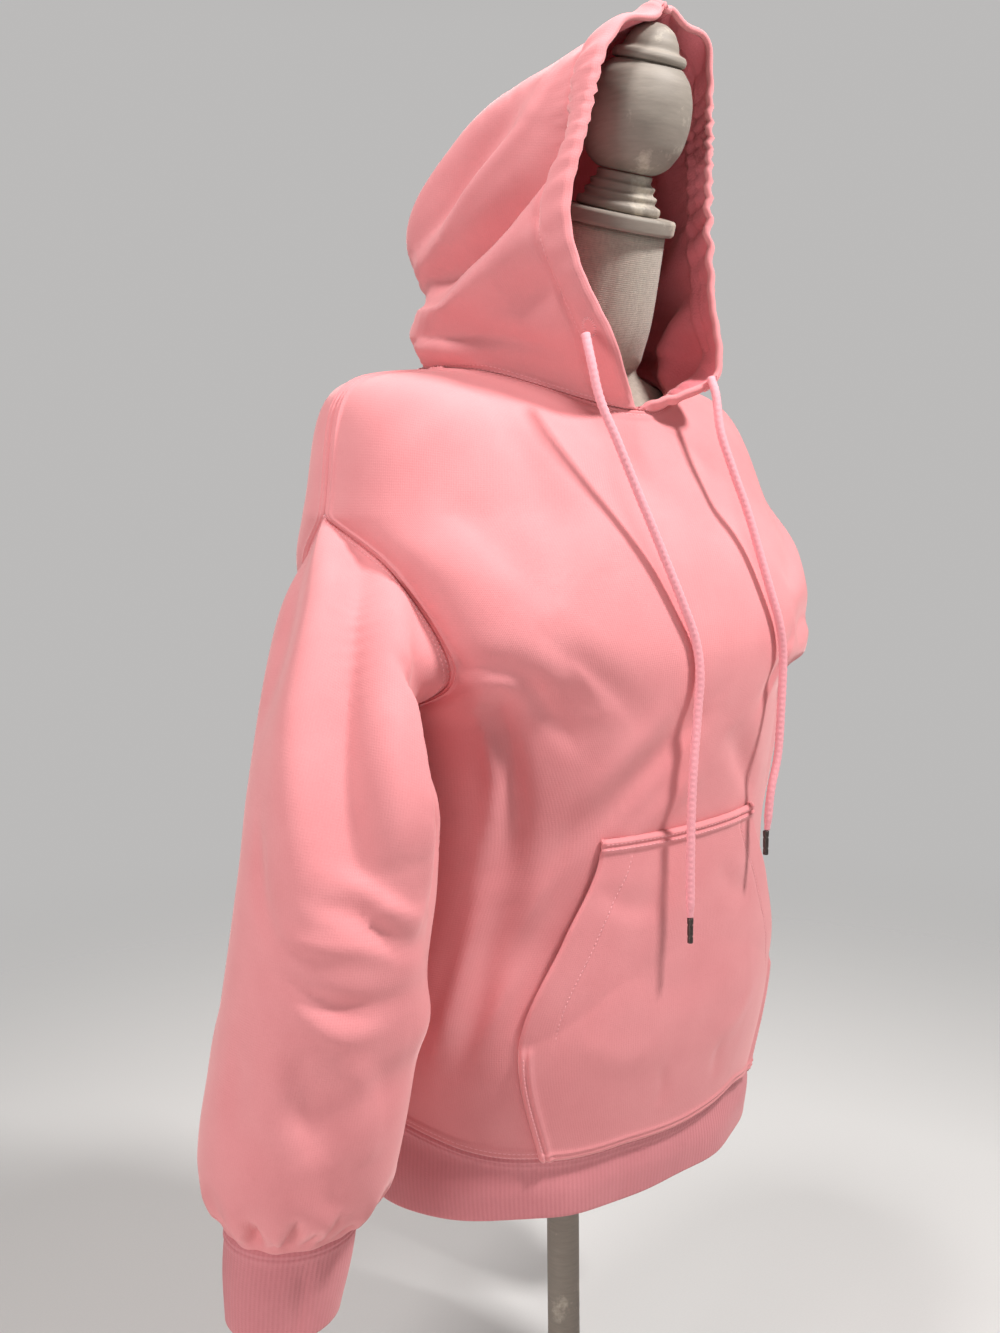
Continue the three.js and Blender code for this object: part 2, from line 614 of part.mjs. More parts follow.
function agletMesh(name, route) {
  const end = new THREE.Vector3(...route[route.length - 1]);
  const before = new THREE.Vector3(...route[route.length - 2]);
  const down = end.clone().sub(before).normalize();
  const mesh = named(name, new THREE.CylinderGeometry(AGLET_RADIUS, AGLET_RADIUS, AGLET_LENGTH, 12), AGLET_METAL);
  mesh.position.copy(end.addScaledVector(down, SEAM_GAP + AGLET_LENGTH / 2));
  mesh.quaternion.setFromUnitVectors(new THREE.Vector3(0, -1, 0), down);
  return mesh;
}

// ---- dress form ----
function torsoGeometry() {
  const rings = [];
  for (let i = 0; i <= (TORSO_SECTIONS.length - 1) * TORSO_STEPS; i += 1) {
    const value = (key) => through(TORSO_SECTIONS.map((row) => row[key]), i / TORSO_STEPS);
    const middle = (value('front') + value('back')) / 2;
    const depth = (value('back') - value('front')) / 2;
    const ring = [];
    for (let k = 0; k < TORSO_SIDES; k += 1) {
      const turn = (2 * Math.PI * k) / TORSO_SIDES;
      ring.push(new THREE.Vector3(
        value('x') * Math.cos(turn),
        middle + depth * Math.sin(turn) * Math.cos(value('lean')),
        value('z') + depth * Math.sin(turn) * Math.sin(value('lean')),
      ));
    }
    rings.push(ring);
  }
  const points = rings.flat();
  const faces = [];
  const at = (i, k) => i * TORSO_SIDES + (k % TORSO_SIDES);
  for (let i = 0; i < rings.length - 1; i += 1) {
    for (let k = 0; k < TORSO_SIDES; k += 1) {
      faces.push(at(i, k), at(i, k + 1), at(i + 1, k + 1), at(i, k), at(i + 1, k + 1), at(i + 1, k));
    }
  }
  for (let k = 1; k < TORSO_SIDES - 1; k += 1) {
    faces.push(at(0, 0), at(0, k + 1), at(0, k));
    faces.push(at(rings.length - 1, 0), at(rings.length - 1, k), at(rings.length - 1, k + 1));
  }
  return solidGeometry(points, faces);
}

/** A turned piece from its half profile, standing on the neck plate and leaning with the neck. */
function turnedGeometry(profile) {
  const closed = [[0, profile[0][1]], ...profile, [0, profile[profile.length - 1][1]]];
  return new THREE.LatheGeometry(closed.map(([x, y]) => new THREE.Vector2(x, y)), FINIAL_SIDES).rotateX(Math.PI / 2);
}

// ---- the object ----
const evenShare = (column) => column / HALF_COLUMNS;
const front = new Panel('front_body', bodyGrid(FRONT_ROWS, -1, FRONT_FOLDS, columnShare));
const back = new Panel('back_body', bodyGrid(BACK_ROWS, 1, BACK_FOLDS, evenShare));
const frontNeck = front.grid[front.grid.length - 1];
const backNeck = back.grid[back.grid.length - 1];
const rightNeck = [...backNeck.slice(HALF_COLUMNS), ...frontNeck.slice(1, HALF_COLUMNS + 1)];
const leftNeck = [...frontNeck.slice(HALF_COLUMNS), ...backNeck.slice(1, HALF_COLUMNS + 1)].reverse();

const rightSleeve = sleeveGrid(armhole(front.grid, back.grid, -1), RIGHT_SLEEVE, RIGHT_CUFF[0], -1);
const leftSleeve = sleeveGrid(armhole(front.grid, back.grid, 1), LEFT_SLEEVE, LEFT_CUFF[0], 1);
const channelStart = 1 - CHANNEL_COLUMNS / (2 * HALF_COLUMNS);
const hoodWall = (share, row) => (row > 0 && share > channelStart ? CHANNEL : CLOTH);
const rib = { wraps: true, wall: () => RIB, finish: RIB_KNIT };
const panels = [
  front,
  back,
  new Panel('sleeve_right', rightSleeve, { wraps: true, turned: true }),
  new Panel('sleeve_left', leftSleeve, { wraps: true }),
  new Panel('cuff_right', cuffGrid(rightSleeve, RIGHT_CUFF, -1), { ...rib, turned: true }),
  new Panel('cuff_left', cuffGrid(leftSleeve, LEFT_CUFF, 1), rib),
  new Panel('hem_rib', hemGrid(front.grid, back.grid), rib),
  new Panel('hood_right', hoodGrid(rightNeck, -1), { wall: hoodWall }),
  new Panel('hood_left', hoodGrid(leftNeck, 1), { wall: hoodWall, turned: true }),
];
joinSeams(panels);

const garment = new THREE.Group();
garment.position.z = HEM_HEIGHT;
panels.forEach((panel) => {
  garment.add(named(panel.name, wallGeometry(wallGrids(panel), panel.wraps), panel.finish));
});
garment.add(named('kangaroo_pocket', pocketGeometry(front), FLEECE));
garment.add(named('drawcord_right', cordGeometry(RIGHT_CORD), CORD_KNIT));
garment.add(named('drawcord_left', cordGeometry(LEFT_CORD), CORD_KNIT));
garment.add(agletMesh('aglet_right', RIGHT_CORD), agletMesh('aglet_left', LEFT_CORD));

const form = new THREE.Group();
form.position.z = HEM_HEIGHT;
form.add(named('form_torso', torsoGeometry(), FORM_COVER));
const neck = new THREE.Group();
neck.position.copy(PLATE_CENTRE);
neck.rotation.x = NECK_LEAN;
const plate = new THREE.CylinderGeometry(PLATE.radius, PLATE.radius, PLATE.thickness, 32).rotateX(Math.PI / 2);
neck.add(named('neck_plate', plate, PAINTED_WOOD));
const turning = named('neck_turning', turnedGeometry(TURNING_PROFILE), PAINTED_WOOD);
turning.position.z = PLATE.thickness / 2 + SEAM_GAP;
const urn = named('finial', turnedGeometry([...URN_PROFILE, ...BEAD_PROFILE]), PAINTED_WOOD);
urn.position.z = turning.position.z + TURNING_PROFILE[TURNING_PROFILE.length - 1][1] + SEAM_GAP;
neck.add(turning, urn);
form.add(neck);

const stand = new THREE.Group();
const base = new THREE.CylinderGeometry(BASE.radius, BASE.radius, BASE.thickness, 48).rotateX(Math.PI / 2);
const baseMesh = named('form_base', base, PAINTED_WOOD);
baseMesh.position.z = BASE.thickness / 2;
const postLength = POST.top - BASE.thickness - 2 * SEAM_GAP;
const post = new THREE.CylinderGeometry(POST.radius, POST.radius, postLength, 24).rotateX(Math.PI / 2);
const postMesh = named('form_post', post, PAINTED_WOOD);
postMesh.position.z = BASE.thickness + SEAM_GAP + postLength / 2;
stand.add(baseMesh, postMesh);

const group = new THREE.Group();
group.add(garment, form, stand);

export default group;
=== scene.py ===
"""A salmon-pink pullover hoodie, its hood up, on a limbless dress form.

The cloth is built as fine shells on the frame's own sections, with creases, raised seams and
topstitching. Tables are in millimetres, with heights above the hem band's lower edge.
The garment's front faces -Y and the wearer's right is -X.
"""

import logging
import math
from dataclasses import dataclass, field
from enum import Enum

import bpy
import numpy as np
from mathutils import Matrix, Vector


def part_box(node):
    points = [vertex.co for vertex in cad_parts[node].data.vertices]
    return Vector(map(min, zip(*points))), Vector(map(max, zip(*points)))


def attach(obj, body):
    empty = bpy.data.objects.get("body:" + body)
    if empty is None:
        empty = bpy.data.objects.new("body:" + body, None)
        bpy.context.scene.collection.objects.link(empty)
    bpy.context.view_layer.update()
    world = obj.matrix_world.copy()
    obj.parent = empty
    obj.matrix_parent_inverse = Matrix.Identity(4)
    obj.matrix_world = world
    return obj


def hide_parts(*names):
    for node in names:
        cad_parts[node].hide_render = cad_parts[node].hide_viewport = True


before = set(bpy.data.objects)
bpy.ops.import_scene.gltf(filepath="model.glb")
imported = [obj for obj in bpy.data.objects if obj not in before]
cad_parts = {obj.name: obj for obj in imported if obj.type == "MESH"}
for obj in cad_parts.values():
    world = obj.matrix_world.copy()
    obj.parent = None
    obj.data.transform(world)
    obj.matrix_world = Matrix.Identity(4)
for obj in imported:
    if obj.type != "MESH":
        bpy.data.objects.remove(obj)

log = logging.getLogger("hoodie")

MM = 0.001
HEM_HEIGHT = 380.0
FLOOR_TO_HEM = np.array((0.0, 0.0, HEM_HEIGHT))
CLOTH = 2.4
RIB = 2.8
CHANNEL = 5.2
SEAM_GAP = 0.45
HALF = 10
LAST_COLUMN = 2 * HALF
UNDERARM = 4
SHOULDER = 7

# Grid rows at which the body table's rows lie, from the hem seam to the neck.
ROW_PLACES = (0, 2, 4, 6, 9, 13, 17, 21, 23, 26)
LAST_ROW = ROW_PLACES[-1]
POCKET_COLUMN = 5
POCKET_TOP_ROW = ROW_PLACES[3]
POCKET_LOW_ROW = ROW_PLACES[1]
MOUTH_EASE = 9.0

# The shared edge of the front and back: side seam, armhole, then shoulder seam (x, y, height).
BODY_EDGE = (
    (196, 2, 62), (203, 2, 150), (193, 2, 230), (190, 0, 305), (193, -10, 393),
    (193, -10, 440), (207, 5, 500), (216, 22, 545), (183, 38, 639), (98, 26, 657),
)
# Centre line (y, height) and squareness of each row.
FRONT_CENTRE = (
    (-134, 62, 2.1), (-146, 150, 2.25), (-146, 230, 2.15), (-152, 304, 2.15), (-164, 385, 2.35),
    (-167, 440, 2.5), (-152, 500, 2.6), (-130, 550, 2.4), (-109, 592, 2.3), (-92, 622, 2.0),
)
BACK_CENTRE = (
    (123, 62, 2.2), (130, 150, 2.3), (120, 230, 2.3), (118, 308, 2.3), (124, 393, 2.4),
    (130, 445, 2.6), (134, 505, 2.6), (134, 560, 2.5), (128, 630, 2.4), (108, 672, 2.0),
)
# Each panel's own armhole edge, by row of the table.
FRONT_ARMHOLE = {5: (188, -92, 432), 6: (204, -50, 503)}
BACK_ARMHOLE = {5: (196, 62, 440), 6: (208, 60, 505)}
POCKET_EDGE = (0.58, 0.52, 0.62, 0.72, 0.62, 0.56, 0.52, 0.5, 0.5, 0.5)

# Sleeve rings (x, y, height, half width outwards, half depth, tilt in degrees).
RIGHT_SLEEVE = (
    (232, -22, 440, 55, 76, 58), (256, -54, 366, 60, 82, 26), (271, -64, 290, 63, 82, 8),
    (285, -58, 195, 66, 82, 0), (296, -46, 112, 68, 82, 0), (299, -40, 72, 64, 74, 0),
)
LEFT_SLEEVE = (
    (232, 8, 440, 54, 74, 58), (252, 50, 366, 57, 76, 26), (254, 84, 290, 58, 76, 8),
    (256, 98, 190, 60, 78, 0), (257, 102, 112, 64, 80, 0), (257, 102, 72, 60, 71, 0),
)
RIGHT_CUFF = ((300, -36, 42, 48, 48, 0), (304, -34, 8, 47, 46, 0), (308, -32, -28, 42, 43, 0))
LEFT_CUFF = ((257, 102, 42, 45, 49, 0), (257, 102, 8, 44, 47, 0), (257, 102, -28, 40, 44, 0))
ARMHOLE_COLUMNS = 24

# Hood rows (back y, back height, side) with the front edge of each half (x, y, height).
HOOD_ROWS = (
    (108, 672, 98), (126, 698, 107), (111, 722, 101), (127, 752, 106),
    (121, 788, 98), (104, 824, 82), (89, 848, 57), (74, 859, 0),
)
HOOD_EDGE_RIGHT = (
    (0, -92, 622), (-42, -107, 643), (-75, -114, 672), (-91, -113, 723),
    (-90, -112, 766), (-77, -116, 820), (-54, -119, 884), (0, -121, 914),
)
HOOD_EDGE_LEFT = (
    (0, -92, 622), (38, -116, 633), (66, -122, 653), (67, -113, 716),
    (64, -112, 777), (62, -114, 842), (53, -118, 897), (0, -121, 914),
)
CORNER_WIDTH = 0.8
# Both needle lines of a coverstitched seam, and the width of the ridge at each, from the seam.
SEAM_ROWS = (2.7, 6.6)
RIDGE_WIDTH = 1.3
# The single row of stitches that closes the hood's channel and the facings of the hand openings.
FACING_ROW = 28.0
# How far a sewn edge is brought out to meet its neighbour, and how far from it creases fade.
SEAM_MEET = 0.4
SEAM_FADE = 12.0
RIM_STEPS = 3
CREASE_STEPS = 12
# The roll of each hood half's front edge at its foot, added to its edge (x, y, height).
HOOD_ROLL_RIGHT = ((0, 0, 0), (9, -5, 0), (17, -9, 0), (5, -3, 0)) + ((0, 0, 0),) * 4
HOOD_ROLL_LEFT = ((0, 0, 0),) * 8
# How far the hem seam rises or dips from side seam to side seam, in mm, front then back.
FRONT_HEM_DIP = (
    14, 12, 6, -2, -8, -11, -13, -13, -12, -13, -14, -13, -11, -8, -11, -9, -5, -6, 0, 4, 8
)
BACK_HEM_DIP = (8, 6, 3, 1, 0, -1, 0, 1, 0, -1, -2, -1, 1, 2, 1, 0, 1, 4, 8, 11, 14)
HEM_SHARES = ((1, 0), (0.985, 14), (0.995, 36), (0.98, 62))

RIGHT_CORD = (
    (-77.7, -116.1, 672.7), (-80, -124, 654), (-78, -131, 626), (-70, -140, 597),
    (-60, -147, 567), (-50, -154, 538), (-40, -160, 510), (-29, -167, 478),
    (-19, -171, 450), (-16, -173, 425), (-17, -172, 397), (-22, -172, 348),
    (-24, -172, 298), (-24, -172, 238),
)
LEFT_CORD = (
    (50.5, -123.3, 646), (48, -131, 632), (47, -137, 604), (54, -144, 574),
    (63, -151, 543), (70, -157, 513), (77, -163, 482), (85, -167, 453),
    (90, -167, 426), (90, -166, 388), (88, -165, 348), (81, -164, 318), (78, -163, 286),
)
CORD_DIAMETER = 6.5
# An aglet's profile (radius, height), pressed in at two places.
AGLET_PROFILE = (
    (0, 0), (1.9, 0), (2.2, 0.4), (2.2, 4.4), (1.9, 5.0), (1.9, 5.6), (2.25, 6.2), (2.3, 13.4),
    (1.95, 14.0), (1.95, 14.6), (2.35, 15.2), (2.5, 19.2), (2.3, 19.9), (0, 20.0),
)

# Dress form: sections (height, half width, front y, back y, lean).
NECK_LEAN = math.radians(18)
PLATE_CENTRE = np.array((0.0, -69.0, 769.0))
PLATE_RADIUS = 47.0
PLATE_THICKNESS = 12.0
NECK_AXIS = np.array((0.0, -math.sin(NECK_LEAN), math.cos(NECK_LEAN)))
NECK_TOP = PLATE_CENTRE - NECK_AXIS * (PLATE_THICKNESS / 2 + SEAM_GAP)
TORSO_SECTIONS = (
    (34, 150, -96, 88, 0), (130, 168, -106, 104, 0), (230, 136, -88, 78, 0),
    (330, 146, -112, 84, 0), (430, 158, -150, 96, 0), (500, 164, -134, 108, 0),
    (560, 168, -104, 112, 0), (606, 168, -80, 112, 0), (636.3, 134, -64, 104, 0),
    (653.4, 76, -62, 76, 0), (668, 52, -77, 24, 0.08), (700, 43, -93, -7, 0.2),
    (NECK_TOP[2], 41, NECK_TOP[1] - 41, NECK_TOP[1] + 41, NECK_LEAN),
)


class Edge(Enum):
    """An edge of a shell's grid."""

    START = "first row"
    END = "last row"
    LEFT = "first column"
    RIGHT = "last column"

    @property
    def axis(self) -> int:
        """The grid axis that leads to the edge."""
        return 0 if self in (Edge.START, Edge.END) else 1

    @property
    def far(self) -> bool:
        """Whether it lies at the far end of that axis."""
        return self in (Edge.END, Edge.RIGHT)


# ---- curves ----
def spline(values: np.ndarray, place: np.ndarray) -> np.ndarray:
    """Uniform Catmull-Rom through rows of values.

    Args:
        values: The rows to pass through, first axis first.
        place: Places in steps from the first row.
    Returns:
        One row of values for each place.
    """
    values = np.asarray(values, float)
    place = np.asarray(place, float)
    last = len(values) - 1
    i = np.clip(np.floor(place).astype(int), 0, last - 1)
    spread = place.shape + (1,) * (values.ndim - 1)
    t = (place - i).reshape(spread)
    b, c = values[i], values[i + 1]
    a = np.where((i > 0).reshape(spread), values[np.maximum(i - 1, 0)], 2 * b - c)
    d = np.where((i + 2 <= last).reshape(spread), values[np.minimum(i + 2, last)], 2 * c - b)
    slope, next_slope = (c - a) / 2, (d - b) / 2
    bend = 3 * (c - b) - 2 * slope - next_slope
    twist = 2 * (b - c) + slope + next_slope
    return b + slope * t + bend * t**2 + twist * t**3


def cornered(values: np.ndarray, place: np.ndarray) -> np.ndarray:
    """The same spline with corners at the underarm and at the shoulder point.

    Args:
        values: Rows of the body's edge.
        place: Places in rows of the table.
    Returns:
        One row of values for each place.
    """
    values = np.asarray(values, float)
    place = np.asarray(place, float)
    result = np.empty(place.shape + values.shape[1:])
    last = len(values) - 1
    for start, end in ((0, UNDERARM), (UNDERARM, SHOULDER), (SHOULDER, last)):
        inside = (place >= start) & ((place < end) | (end == last))
        result[inside] = spline(values[start : end + 1], place[inside] - start)
    return result


def smooth(value: np.ndarray, low: float, high: float) -> np.ndarray:
    """A soft step from 0 at low to 1 at high."""
    t = np.clip((value - low) / (high - low), 0, 1)
    return t * t * (3 - 2 * t)


def ticks(count: int, length: float, start: bool = True, end: bool = True) -> np.ndarray:
    """Grid places from 0 to 1, closer together beside seams so that their relief is sharp.

    Args:
        count: How many even places.
        length: The length that 1 stands for, in mm.
        start: Whether there is a seam at 0.
        end: Whether there is a seam at 1.
    Returns:
        The places in order.
    """
    close = np.array((0.7, 1.4, 2.1, 2.8, 3.6, 4.6, 5.5, 6.2, 6.9, 7.8, 9.0)) / length
    even = np.linspace(0, 1, count)
    keep = np.ones(count, bool)
    rim = close[-1] * 1.15
    extra = []
    if start:
        keep &= (even > rim) | (even == 0)
        extra.append(close)
    if end:
        keep &= (even < 1 - rim) | (even == 1)
        extra.append(1 - close)
    return np.sort(np.concatenate([even[keep], *extra]))


# ---- finishes ----
def linear(colour: str) -> tuple[float, float, float, float]:
    """Turns an sRGB hex colour to linear RGBA."""
    parts = [int(colour[i : i + 2], 16) / 255 for i in (1, 3, 5)]
    return (*[c / 12.92 if c <= 0.04045 else ((c + 0.055) / 1.055) ** 2.4 for c in parts], 1.0)


def add(tree: bpy.types.NodeTree, kind: str, inputs: dict | None = None, **settings) -> bpy.types.Node:
    """Adds a shader node.

    Args:
        tree: The material's node tree.
        kind: The node's type.
        inputs: Values or sockets for its inputs, by name or index.
        settings: Its own properties.
    Returns:
        The new node.
    """
    node = tree.nodes.new(kind)
    for name, value in settings.items():
        setattr(node, name, value)
    for name, value in (inputs or {}).items():
        if isinstance(value, bpy.types.NodeSocket):
            tree.links.new(value, node.inputs[name])
        else:
            node.inputs[name].default_value = value
    return node


def blank(
    name: str, constants: dict | None = None
) -> tuple[bpy.types.Material, bpy.types.NodeTree, bpy.types.Node]:
    """A new material with one Principled shader wired to its output.

    Args:
        name: What to call it.
        constants: Fixed values of the shader's inputs, by name.
    Returns:
        The material, its node tree and the shader.
    """
    material = bpy.data.materials.new(name)
    material.use_nodes = True
    tree = material.node_tree
    tree.nodes.clear()
    shader = add(tree, "ShaderNodeBsdfPrincipled", constants)
    add(tree, "ShaderNodeOutputMaterial", {"Surface": shader.outputs["BSDF"]})
    return material, tree, shader


def mixed(
    tree: bpy.types.NodeTree, share: bpy.types.NodeSocket, first: str, second: str
) -> bpy.types.NodeSocket:
    """A colour between two others.

    Args:
        tree: The material's node tree.
        share: How much of the second, from 0 to 1.
        first: The first hex colour.
        second: The second hex colour.
    Returns:
        The colour's socket.
    """
    mix = add(tree, "ShaderNodeMix", data_type="RGBA")
    tree.links.new(share, mix.inputs["Factor"])
    mix.inputs[6].default_value = linear(first)
    mix.inputs[7].default_value = linear(second)
    return mix.outputs[2]


def wave_scale(period: float) -> float:
    """The Wave Texture scale that repeats every period, in mm, on coordinates in metres."""
    return math.pi / 10 / (period * MM)


@dataclass(frozen=True)
class Knit:
    """A knitted cotton: its colours, its wale and course spacing in mm, and its loft.

    Such loops are usually about 0.6 mm apart: the fleece's wales are drawn three times coarser to
    show.
    """

    name: str
    low: str
    high: str
    wale: float
    wale_depth: float
    course: float
    course_depth: float
    loft: float
    loft_depth: float
    sheen: float
    sheen_tint: str
    roughness: float = 0.92

    def material(self) -> bpy.types.Material:
        """Makes the finish, its loops laid along the piece's own threads.

        Returns:
            The material.
        """
        material, tree, shader = blank(self.name, {
            "Roughness": self.roughness, "Specular IOR Level": 0.18, "Sheen Weight": self.sheen,
            "Sheen Roughness": 0.45, "Sheen Tint": linear(self.sheen_tint),
        })
        threads = add(tree, "ShaderNodeUVMap", uv_map="threads").outputs[0]
        solid = add(tree, "ShaderNodeTexCoord").outputs["Object"]
        cloudy = add(tree, "ShaderNodeTexNoise", {"Vector": solid, "Scale": 28.0, "Detail": 3.0})
        fibres = add(
            tree, "ShaderNodeTexNoise", {"Vector": solid, "Scale": 1 / (self.loft * MM), "Detail": 2.0}
        )
        wales = add(
            tree, "ShaderNodeTexWave",
            {"Vector": threads, "Scale": wave_scale(self.wale), "Distortion": 0.6, "Detail": 1.0,
             "Detail Scale": 0.4},
            bands_direction="X",
        )
        courses = add(
            tree, "ShaderNodeTexWave",
            {"Vector": threads, "Scale": wave_scale(self.course), "Distortion": 0.8, "Detail": 1.0},
            bands_direction="Y",
        )
        # The wales paint their own crests lighter and their grooves darker, by wale_depth: painted shade in
        # the grooves. cloudy and fibres give tone that differs at random.
        tone, grain, lines = (
            add(tree, "ShaderNodeMath", {0: texture.outputs["Fac"], 1: share}, operation="MULTIPLY")
            for texture, share in ((cloudy, 0.55), (fibres, 0.35), (wales, self.wale_depth))
        )
        total = add(tree, "ShaderNodeMath", {0: tone.outputs[0], 1: grain.outputs[0]}, operation="ADD")
        shade = add(
            tree, "ShaderNodeMath", {0: lines.outputs[0], 1: 1.2, 2: total.outputs[0]},
            operation="MULTIPLY_ADD",
        )
        tree.links.new(mixed(tree, shade.outputs[0], self.low, self.high), shader.inputs["Base Color"])
        normal = None
        for texture, strength, depth in (
            (fibres, 0.6, self.loft_depth), (courses, 0.8, self.course_depth), (wales, 0.9, self.wale_depth),
        ):
            relief = {"Height": texture.outputs["Fac"], "Strength": strength, "Distance": depth * MM}
            if normal is not None:
                relief["Normal"] = normal
            normal = add(tree, "ShaderNodeBump", relief).outputs[0]
        tree.links.new(normal, shader.inputs["Normal"])
        return material


# Jersey-faced cotton fleece, piece-dyed: matte, with a faint bloom where it turns away.
FLEECE = Knit(
    "jersey_faced_cotton_fleece", "#D98184", "#EC9D9F", 1.8, 0.05, 1.7, 0.04, 1.2, 0.22, 0.35, "#FFE6E2"
)
# The fleece's brushed back: no loops show, only a deeper, softer nap. Its colours are deeper and more
# saturated than the face's as painted bounce light, the glow of the pink cloth lighting itself inside the
# hood.
BRUSHED = Knit(
    "brushed_fleece_back", "#DE707A", "#EE8E95", 3.2, 0.05, 3.0, 0.05, 1.6, 0.9, 0.4, "#FFC9C7"
)
# One-by-one cotton rib, stretched on the wearer: low round ribs, their channels painted slightly darker as
# shade and their crests lighter.
RIB_KNIT = Knit(
    "one_by_one_cotton_rib", "#C5747A", "#DC8F93", 3.6, 0.2, 1.7, 0.08, 1.0, 0.25, 0.25, "#FFDEDA"
)


@dataclass(frozen=True)
class Thread:
    """Spun yarn, soft and matte: the drawcord and the sewing thread."""

    name: str
    low: str
    high: str
    strand: float
    depth: float

    def material(self) -> bpy.types.Material:
        """Makes the finish.

        Returns:
            The material.
        """
        material, tree, shader = blank(self.name, {
            "Roughness": 0.85, "Specular IOR Level": 0.2, "Sheen Weight": 0.2, "Sheen Roughness": 0.4,
        })
        solid = add(tree, "ShaderNodeTexCoord").outputs["Object"]
        strands = add(
            tree, "ShaderNodeTexNoise", {"Vector": solid, "Scale": 1 / (self.strand * MM), "Detail": 3.0}
        )
        tree.links.new(mixed(tree, strands.outputs["Fac"], self.low, self.high), shader.inputs["Base Color"])
        bump = add(
            tree, "ShaderNodeBump",
            {"Height": strands.outputs["Fac"], "Strength": 0.7, "Distance": self.depth * MM},
        )
        tree.links.new(bump.outputs[0], shader.inputs["Normal"])
        return material


# Round knitted cotton cord, dyed a shade lighter than the cloth: its loops catch a little light.
CORD_COTTON = Thread("round_knitted_cotton_cord", "#E48C95", "#FBB6BC", 0.9, 0.25)
# Polyester core-spun sewing thread, a shade brighter than the cloth; part of that brightness is a painted
# highlight along the seam ridges that it lies on.
SEWING = Thread("core_spun_sewing_thread", "#E8959A", "#F7B8BB", 0.5, 0.05)


@dataclass(frozen=True)
class CrimpedMetal:
    """Gunmetal-plated brass, pressed round the cord: dark, smooth and softly reflecting."""

    name: str = "gunmetal_plated_brass"

    def material(self) -> bpy.types.Material:
        """Makes the finish, rubbed a little all over.

        Returns:
            The material.
        """
        material, tree, shader = blank(self.name, {"Metallic": 1.0})
        solid = add(tree, "ShaderNodeTexCoord").outputs["Object"]
        rub = add(tree, "ShaderNodeTexNoise", {"Vector": solid, "Scale": 700.0, "Detail": 4.0})
        tree.links.new(mixed(tree, rub.outputs["Fac"], "#3A3230", "#6E625E"), shader.inputs["Base Color"])
        rough = add(tree, "ShaderNodeMapRange", {"Value": rub.outputs["Fac"], "To Min": 0.25, "To Max": 0.5})
        tree.links.new(rough.outputs["Result"], shader.inputs["Roughness"])
        return material


@dataclass(frozen=True)
class FormCloth:
    """Plain-woven linen stretched over the form: grey-brown, with visible slubs.

    Such threads are usually about 0.7 mm apart, and are drawn at 1.6 mm so that they show.
    """

    name: str = "plain_woven_linen_cover"
    pitch: float = 1.6

    def material(self) -> bpy.types.Material:
        """Makes the finish, with warp and weft on the cover's own threads.

        Returns:
            The material.
        """
        material, tree, shader = blank(self.name, {
            "Roughness": 0.9, "Specular IOR Level": 0.2, "Sheen Weight": 0.15,
        })
        threads = add(tree, "ShaderNodeUVMap", uv_map="threads").outputs[0]
        waves = [
            add(
                tree, "ShaderNodeTexWave",
                {"Vector": threads, "Scale": wave_scale(self.pitch), "Distortion": 1.2, "Detail": 2.0},
                bands_direction=direction,
            ).outputs["Fac"]
            for direction in ("X", "Y")
        ]
        weave = add(tree, "ShaderNodeMath", {0: waves[0], 1: waves[1]}, operation="MULTIPLY")
        slub = add(tree, "ShaderNodeTexNoise", {"Vector": threads, "Scale": 180.0, "Detail": 4.0})
        share = add(
            tree, "ShaderNodeMath", {0: weave.outputs[0], 1: 0.45, 2: slub.outputs["Fac"]},
            operation="MULTIPLY_ADD",
        )
        tree.links.new(mixed(tree, share.outputs[0], "#8F8379", "#C2B5A7"), shader.inputs["Base Color"])
        bump = add(
            tree, "ShaderNodeBump", {"Height": weave.outputs[0], "Strength": 0.8, "Distance": 0.35 * MM}
        )
        tree.links.new(bump.outputs[0], shader.inputs["Normal"])
        return material


@dataclass(frozen=True)
class PaintedWood:
    """Turned beech under worn chalk paint: grey-taupe, with thin patches and fine turning lines."""

    name: str = "turned_beech_chalk_painted"
    low: str = "#776D64"
    high: str = "#9B9084"
    worn: str = "#C0B4A4"

    def material(self) -> bpy.types.Material:
        """Makes the finish: brushed paint, rubbed thin in spots where it has been handled.

        Returns:
            The material.
        """
        material, tree, shader = blank(self.name)
        solid = add(tree, "ShaderNodeTexCoord").outputs["Object"]
        brushed = add(tree, "ShaderNodeMapping", {"Vector": solid, "Scale": (1.0, 1.0, 6.0)})
        strokes = add(
            tree, "ShaderNodeTexNoise",
            {"Vector": brushed.outputs[0], "Scale": 60.0, "Detail": 6.0, "Roughness": 0.65},
        )
        patches = add(
            tree, "ShaderNodeTexNoise", {"Vector": solid, "Scale": 38.0, "Detail": 5.0, "Roughness": 0.7}
        )
        broad = add(tree, "ShaderNodeTexNoise", {"Vector": solid, "Scale": 11.0, "Detail": 1.0})
        handled = add(
            tree, "ShaderNodeMath",
            {0: broad.outputs["Fac"], 1: 0.8, 2: patches.outputs["Fac"]}, operation="MULTIPLY_ADD",
        )
        rubbed = add(
            tree, "ShaderNodeMapRange", {"Value": handled.outputs[0], "From Min": 0.99, "From Max": 1.18}
        )
        body = mixed(tree, strokes.outputs["Fac"], self.low, self.high)
        mix = add(tree, "ShaderNodeMix", data_type="RGBA")
        tree.links.new(rubbed.outputs["Result"], mix.inputs["Factor"])
        tree.links.new(body, mix.inputs[6])
        mix.inputs[7].default_value = linear(self.worn)
        tree.links.new(mix.outputs[2], shader.inputs["Base Color"])
        rough = add(
            tree, "ShaderNodeMapRange", {"Value": strokes.outputs["Fac"], "To Min": 0.5, "To Max": 0.8}
        )
        tree.links.new(rough.outputs["Result"], shader.inputs["Roughness"])
        bump = add(
            tree, "ShaderNodeBump",
            {"Height": strokes.outputs["Fac"], "Strength": 0.35, "Distance": 0.4 * MM},
        )
        tree.links.new(bump.outputs[0], shader.inputs["Normal"])
        return material


